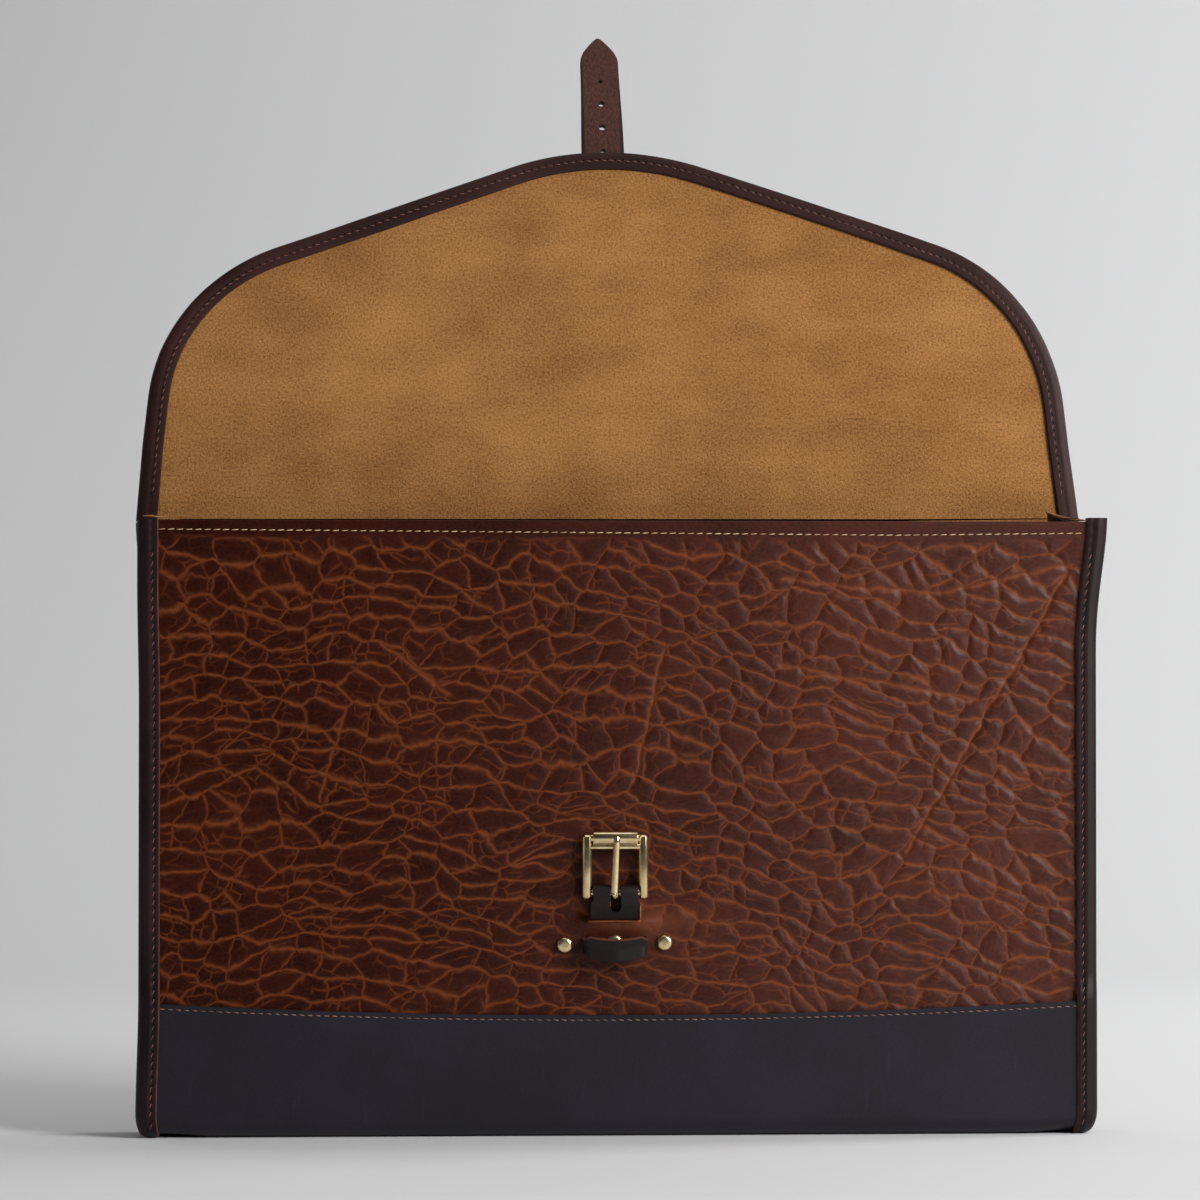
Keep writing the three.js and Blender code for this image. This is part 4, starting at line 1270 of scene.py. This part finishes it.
middleX, faceY = case["middle"] / mm, case["face"] / mm
lip = [(middleX + x, faceY - 1.7 + abs(x / 12) ** 3 * 1.8, slitZ / mm + 0.55 - abs(x / 12) ** 2 * 0.5)
       for x in np.linspace(-12, 12, 17)]
chapeFront = (heelY - fitting["barRadius"] - fitting["run"] - fitting["thick"]) / mm
chapeSide = middleX + fitting["chapeWidth"] / 2 / mm
slotSide = middleX - fitting["slot"] / 2 / mm - 0.25

# Name, line, radius up and radius outward in millimetres, leather and slot
for cord in (
    ("keeper_edge", keeperTop / mm, 0.5, 0.75, rawRed, "band_leather"),
    ("slit_lip", lip, 0.75, 1.0, lipLeather, "grain_leather"),
    ("raw_edge_left", ((-201.4, -17.4, 261.4), (-198, -17.6, 261.5), (-194.5, -17.2, 261.0),
                       (-190.6, -16.6, 260.9)), 0.42, 0.5, rawTan, "gusset_leather"),
    ("raw_edge_right", ((184.0, -1, 264.6), (187, -5, 263.0), (191.5, -10, 261.4), (195, -13, 260.9),
                        (199, -16.5, 260.5)), 0.7, 0.7, rawTan, "gusset_leather"),
    ("chape_edge", ((chapeSide, chapeFront + 0.9, 98.6), (chapeSide, chapeFront + 1.1, 96),
                    (chapeSide, chapeFront + 1.7, 93), (chapeSide, chapeFront + 2.6, 91.4)),
     0.45, 0.3, rawTan, "band_leather"),
    ("slot_edge", ((slotSide, chapeFront + 0.35, 102), (slotSide, chapeFront + 0.5, 99),
                   (slotSide, chapeFront + 0.8, 96.9)), 0.4, 0.32, lipLeather, "band_leather"),
    # near-black cord: a painted shadow between the suede and the front's top edge
    ("painted_shadow_line", ((-186, -15.3, 260.2), (0, -15.3, 260.3), (120, -15.3, 260.5), (196, -15.3, 261.4)),
     0.45, 0.3, paintedShadeBlack, "suede"),
):
    edgeCord(*cord)

print("brass")


def makeBuckle():
    bar = {"width": 4.1 * mm, "depth": 4 * mm, "end": 2.8 * mm, "bevel": 1.0 * mm,
           "edge": 0.14 * mm}
    inner = fitting["inner"] / 2
    low, high = heelZ - bar["end"], heelZ + fitting["span"] + bar["end"] - 1.2 * mm
    parts = []
    deselectAll()
    for side in (-1, 1):
        bpy.ops.mesh.primitive_cube_add(size=1, location=(
            case["middle"] + side * (inner + bar["width"] / 2), heelY, (low + high) / 2))
        part = bpy.context.object
        part.scale = (bar["width"], bar["depth"], high - low)
        settle(part)
        for width, segments in ((bar["bevel"], 1), (bar["edge"], 2)):
            bevel(part, width, segments)
            applyModifiers(part)
        parts.append(part)
    for z, radius in ((heelZ, fitting["barRadius"]), (heelZ + fitting["span"], 1.7 * mm)):
        bpy.ops.mesh.primitive_cylinder_add(vertices=32, radius=radius, depth=fitting["inner"] + 1.2 * mm,
                                            location=(case["middle"], heelY, z), rotation=(0, math.pi / 2, 0))
        parts.append(bpy.context.object)
        settle(parts[-1])
    # strip between the side bars, under the roller
    bpy.ops.mesh.primitive_cube_add(size=1, location=(
        case["middle"], heelY - 0.2 * mm, heelZ + fitting["span"] - 3.5 * mm))
    strip = bpy.context.object
    strip.scale = (fitting["inner"] + 1.6 * mm, 2.6 * mm, 2.1 * mm)
    settle(strip)
    bevel(strip, 0.45 * mm)
    applyModifiers(strip)
    parts.append(strip)
    deselectAll()
    for part in parts:
        part.select_set(True)
    bpy.context.view_layer.objects.active = parts[0]
    bpy.ops.object.join()
    piece = bpy.context.object
    piece.name = piece.data.name = "buckle"
    return piece


buckle = makeBuckle()
finish(buckle, brass, "frame", ("buckle_frame",), smooth=25)


def makeRoller():
    deselectAll()
    bpy.ops.mesh.primitive_cylinder_add(vertices=48, radius=3.2 * mm, depth=fitting["inner"] - 0.6 * mm,
                                        location=(case["middle"], heelY, heelZ + fitting["span"]),
                                        rotation=(0, math.pi / 2, 0))
    piece = bpy.context.object
    piece.name = piece.data.name = "roller"
    settle(piece)
    bevel(piece, 0.35 * mm, 3, 40)
    applyModifiers(piece)
    return piece


finish(makeRoller(), brass, "roller", ("buckle_roller",), smooth=30)


def makeTongue():
    tongue = {"width": 3.4 * mm, "tip": 2.8 * mm, "thick": 2.2 * mm, "length": 23.8 * mm, "foot": 1.3 * mm,
              "lean": 1.1 * mm}
    ring = fitting["barRadius"] + fitting["run"] + 1.5 * mm
    stations = []
    for share in np.linspace(0, 1, 26):
        z = heelZ + share * tongue["length"]
        y = heelY - ring + 0.7 * mm - 1.45 * mm * share
        width = tongue["width"] + (tongue["tip"] - tongue["width"]) * share
        thick = tongue["thick"]
        if share > 0.93:
            end = (share - 0.93) / 0.07
            width *= math.sqrt(max(0.02, 1 - end ** 2)) * 0.5 + 0.5
            thick *= 1 - 0.45 * end
        stations.append((y, z, width, thick))
    foot = []
    for share in np.linspace(0, 1, 10)[:-1]:
        z = heelZ - tongue["foot"] * (1 - share)
        narrow = 0.72 + 0.28 * share
        y = heelY - ring + 0.2 * mm + 0.5 * mm * share + 0.5 * mm * (1 - share) ** 2
        foot.append((y, z, tongue["width"] * narrow * 0.82, tongue["thick"] * 0.8))
    rings = []
    for y, z, width, thick in foot + stations:
        turn = np.linspace(0, 2 * math.pi, 25)[:-1]
        shapeX = np.sign(np.cos(turn)) * np.abs(np.cos(turn)) ** 0.6
        shapeY = np.sign(np.sin(turn)) * np.abs(np.sin(turn)) ** 0.75
        shift = tongue["lean"] * ((z - heelZ) / tongue["length"] - 0.55)
        ridge = -0.5 * mm * (1 - np.abs(np.cos(turn))) * (np.sin(turn) < 0)
        rings.append(np.stack([case["middle"] + shift + shapeX * width / 2, y + shapeY * thick / 2 + ridge,
                               np.full(24, z)], -1))
    points = np.array(rings).reshape(-1, 3).tolist()
    piece = meshPiece("tongue_prong", points, tubeFaces(len(rings), 24))
    faceOutward(piece)
    deselectAll()
    bpy.ops.mesh.primitive_torus_add(major_segments=32, minor_segments=12, major_radius=2.5 * mm,
                                     minor_radius=0.75 * mm, location=(case["middle"], heelY, heelZ),
                                     rotation=(0, math.pi / 2, 0))
    loop = bpy.context.object
    loop.scale = (1, 1, 2.1)
    settle(loop)
    piece.select_set(True)
    bpy.context.view_layer.objects.active = piece
    bpy.ops.object.join()
    return piece


finish(makeTongue(), brass, "tongue", ("buckle_tongue",), smooth=40)

rivetRaised = {"left": 0, "right": 0.9 * mm, "centre": -2.3 * mm}
rivetSquareness = 4.5  # a flat crown and a steep rim
for label, raised in rivetRaised.items():
    low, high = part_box(f"rivet_{label}")
    middle = [(a + b) / 2 for a, b in zip(low, high)]
    deselectAll()
    bpy.ops.mesh.primitive_uv_sphere_add(segments=40, ring_count=20, radius=1, rotation=(math.pi / 2, 0, 0))
    head = bpy.context.object
    head.name = head.data.name = f"rivet_{label}_dome"
    settle(head)
    radius = (high[0] - low[0]) / 2
    for vertex in head.data.vertices:
        inside = max(0, 1 - math.hypot(vertex.co.x, vertex.co.z) ** rivetSquareness)
        flat = math.sqrt(inside) * math.copysign(1, vertex.co.y)
        vertex.co = (middle[0] + vertex.co.x * radius, case["face"] + flat * (case["face"] - low[1]),
                     middle[2] + raised + vertex.co.z * radius)
    finish(head, rivetBrass, stands=(f"rivet_{label}",), smooth=60)

print("stage, lights and camera")


def makeStage():
    straight, radius = 3.6, 1.6  # level part of the sweep, then its curve, in metres
    length, half, near = 10.0, 5, -2.2
    deselectAll()
    bpy.ops.mesh.primitive_grid_add(x_subdivisions=2, y_subdivisions=60, size=2)
    sweep = bpy.context.object
    sweep.name = "sweep"
    for vertex in sweep.data.vertices:
        run = (vertex.co.y + 1) / 2 * length
        if run < straight:
            y, z = run, 0.0
        elif run < straight + radius * math.pi / 2:
            angle = (run - straight) / radius
            y, z = straight + radius * math.sin(angle), radius * (1 - math.cos(angle))
        else:
            y, z = straight + radius, radius + run - straight - radius * math.pi / 2
        vertex.co = (vertex.co.x * half, y + near, z)
    paper = newMaterial("studio_paper", Base_Color=paint(225, 225, 226), Roughness=0.9,
                        Specular_IOR_Level=0.1)[0]
    sweep.data.materials.append(paper)
    bpy.ops.object.shade_smooth()


makeStage()


def areaLight(name, location, target, size, power):
    light = bpy.data.lights.new(name, "AREA")
    light.shape = "RECTANGLE"
    light.size, light.size_y = size
    light.energy = power
    lamp = bpy.data.objects.new(name, light)
    scene.collection.objects.link(lamp)
    lamp.location = location
    lamp.rotation_euler = (Vector(target) - Vector(location)).to_track_quat("-Z", "Y").to_euler()


areaLight("window", (1.3, -1.2, 0.95), (0, 0, 0.2), (1.0, 1.0), 39)
areaLight("wall_wash", (1.9, 0.7, 1.2), (-0.5, 3.4, 0.5), (1.6, 0.8), 43)
areaLight("back_fill", (-1.4, 1.9, 1.2), (0, 0, 0.25), (0.9, 0.7), 4)
areaLight("overhead", (0.1, 0.1, 2.4), (0, 0.1, 0), (1.8, 1.2), 8)
areaLight("card_left", (-2.0, 0.1, 0.7), (0, 0, 0.15), (1.2, 1.2), 2)

world = bpy.data.worlds.new("studio")
scene.world = world
world.use_nodes = True
background = world.node_tree.nodes["Background"]
background.inputs["Color"].default_value = (1, 1, 1, 1)
background.inputs["Strength"].default_value = 0.05

view = {"distance": 2.3, "turn": math.radians(-4), "height": 0.176, "tilt": 1.263, "aim": -3.814,
        "lens": 161.9}  # height and distance in metres, tilt and aim in degrees
camera = bpy.data.cameras.new("camera")
camera.sensor_width = 36
camera.lens = view["lens"]
viewer = bpy.data.objects.new("camera", camera)
scene.collection.objects.link(viewer)
viewer.location = (view["distance"] * math.sin(view["turn"]), -view["distance"] * math.cos(view["turn"]),
                   view["height"])
viewer.rotation_euler = (math.radians(90 + view["tilt"]), 0, math.radians(view["aim"]))
scene.camera = viewer
scene.view_settings.view_transform = "Standard"
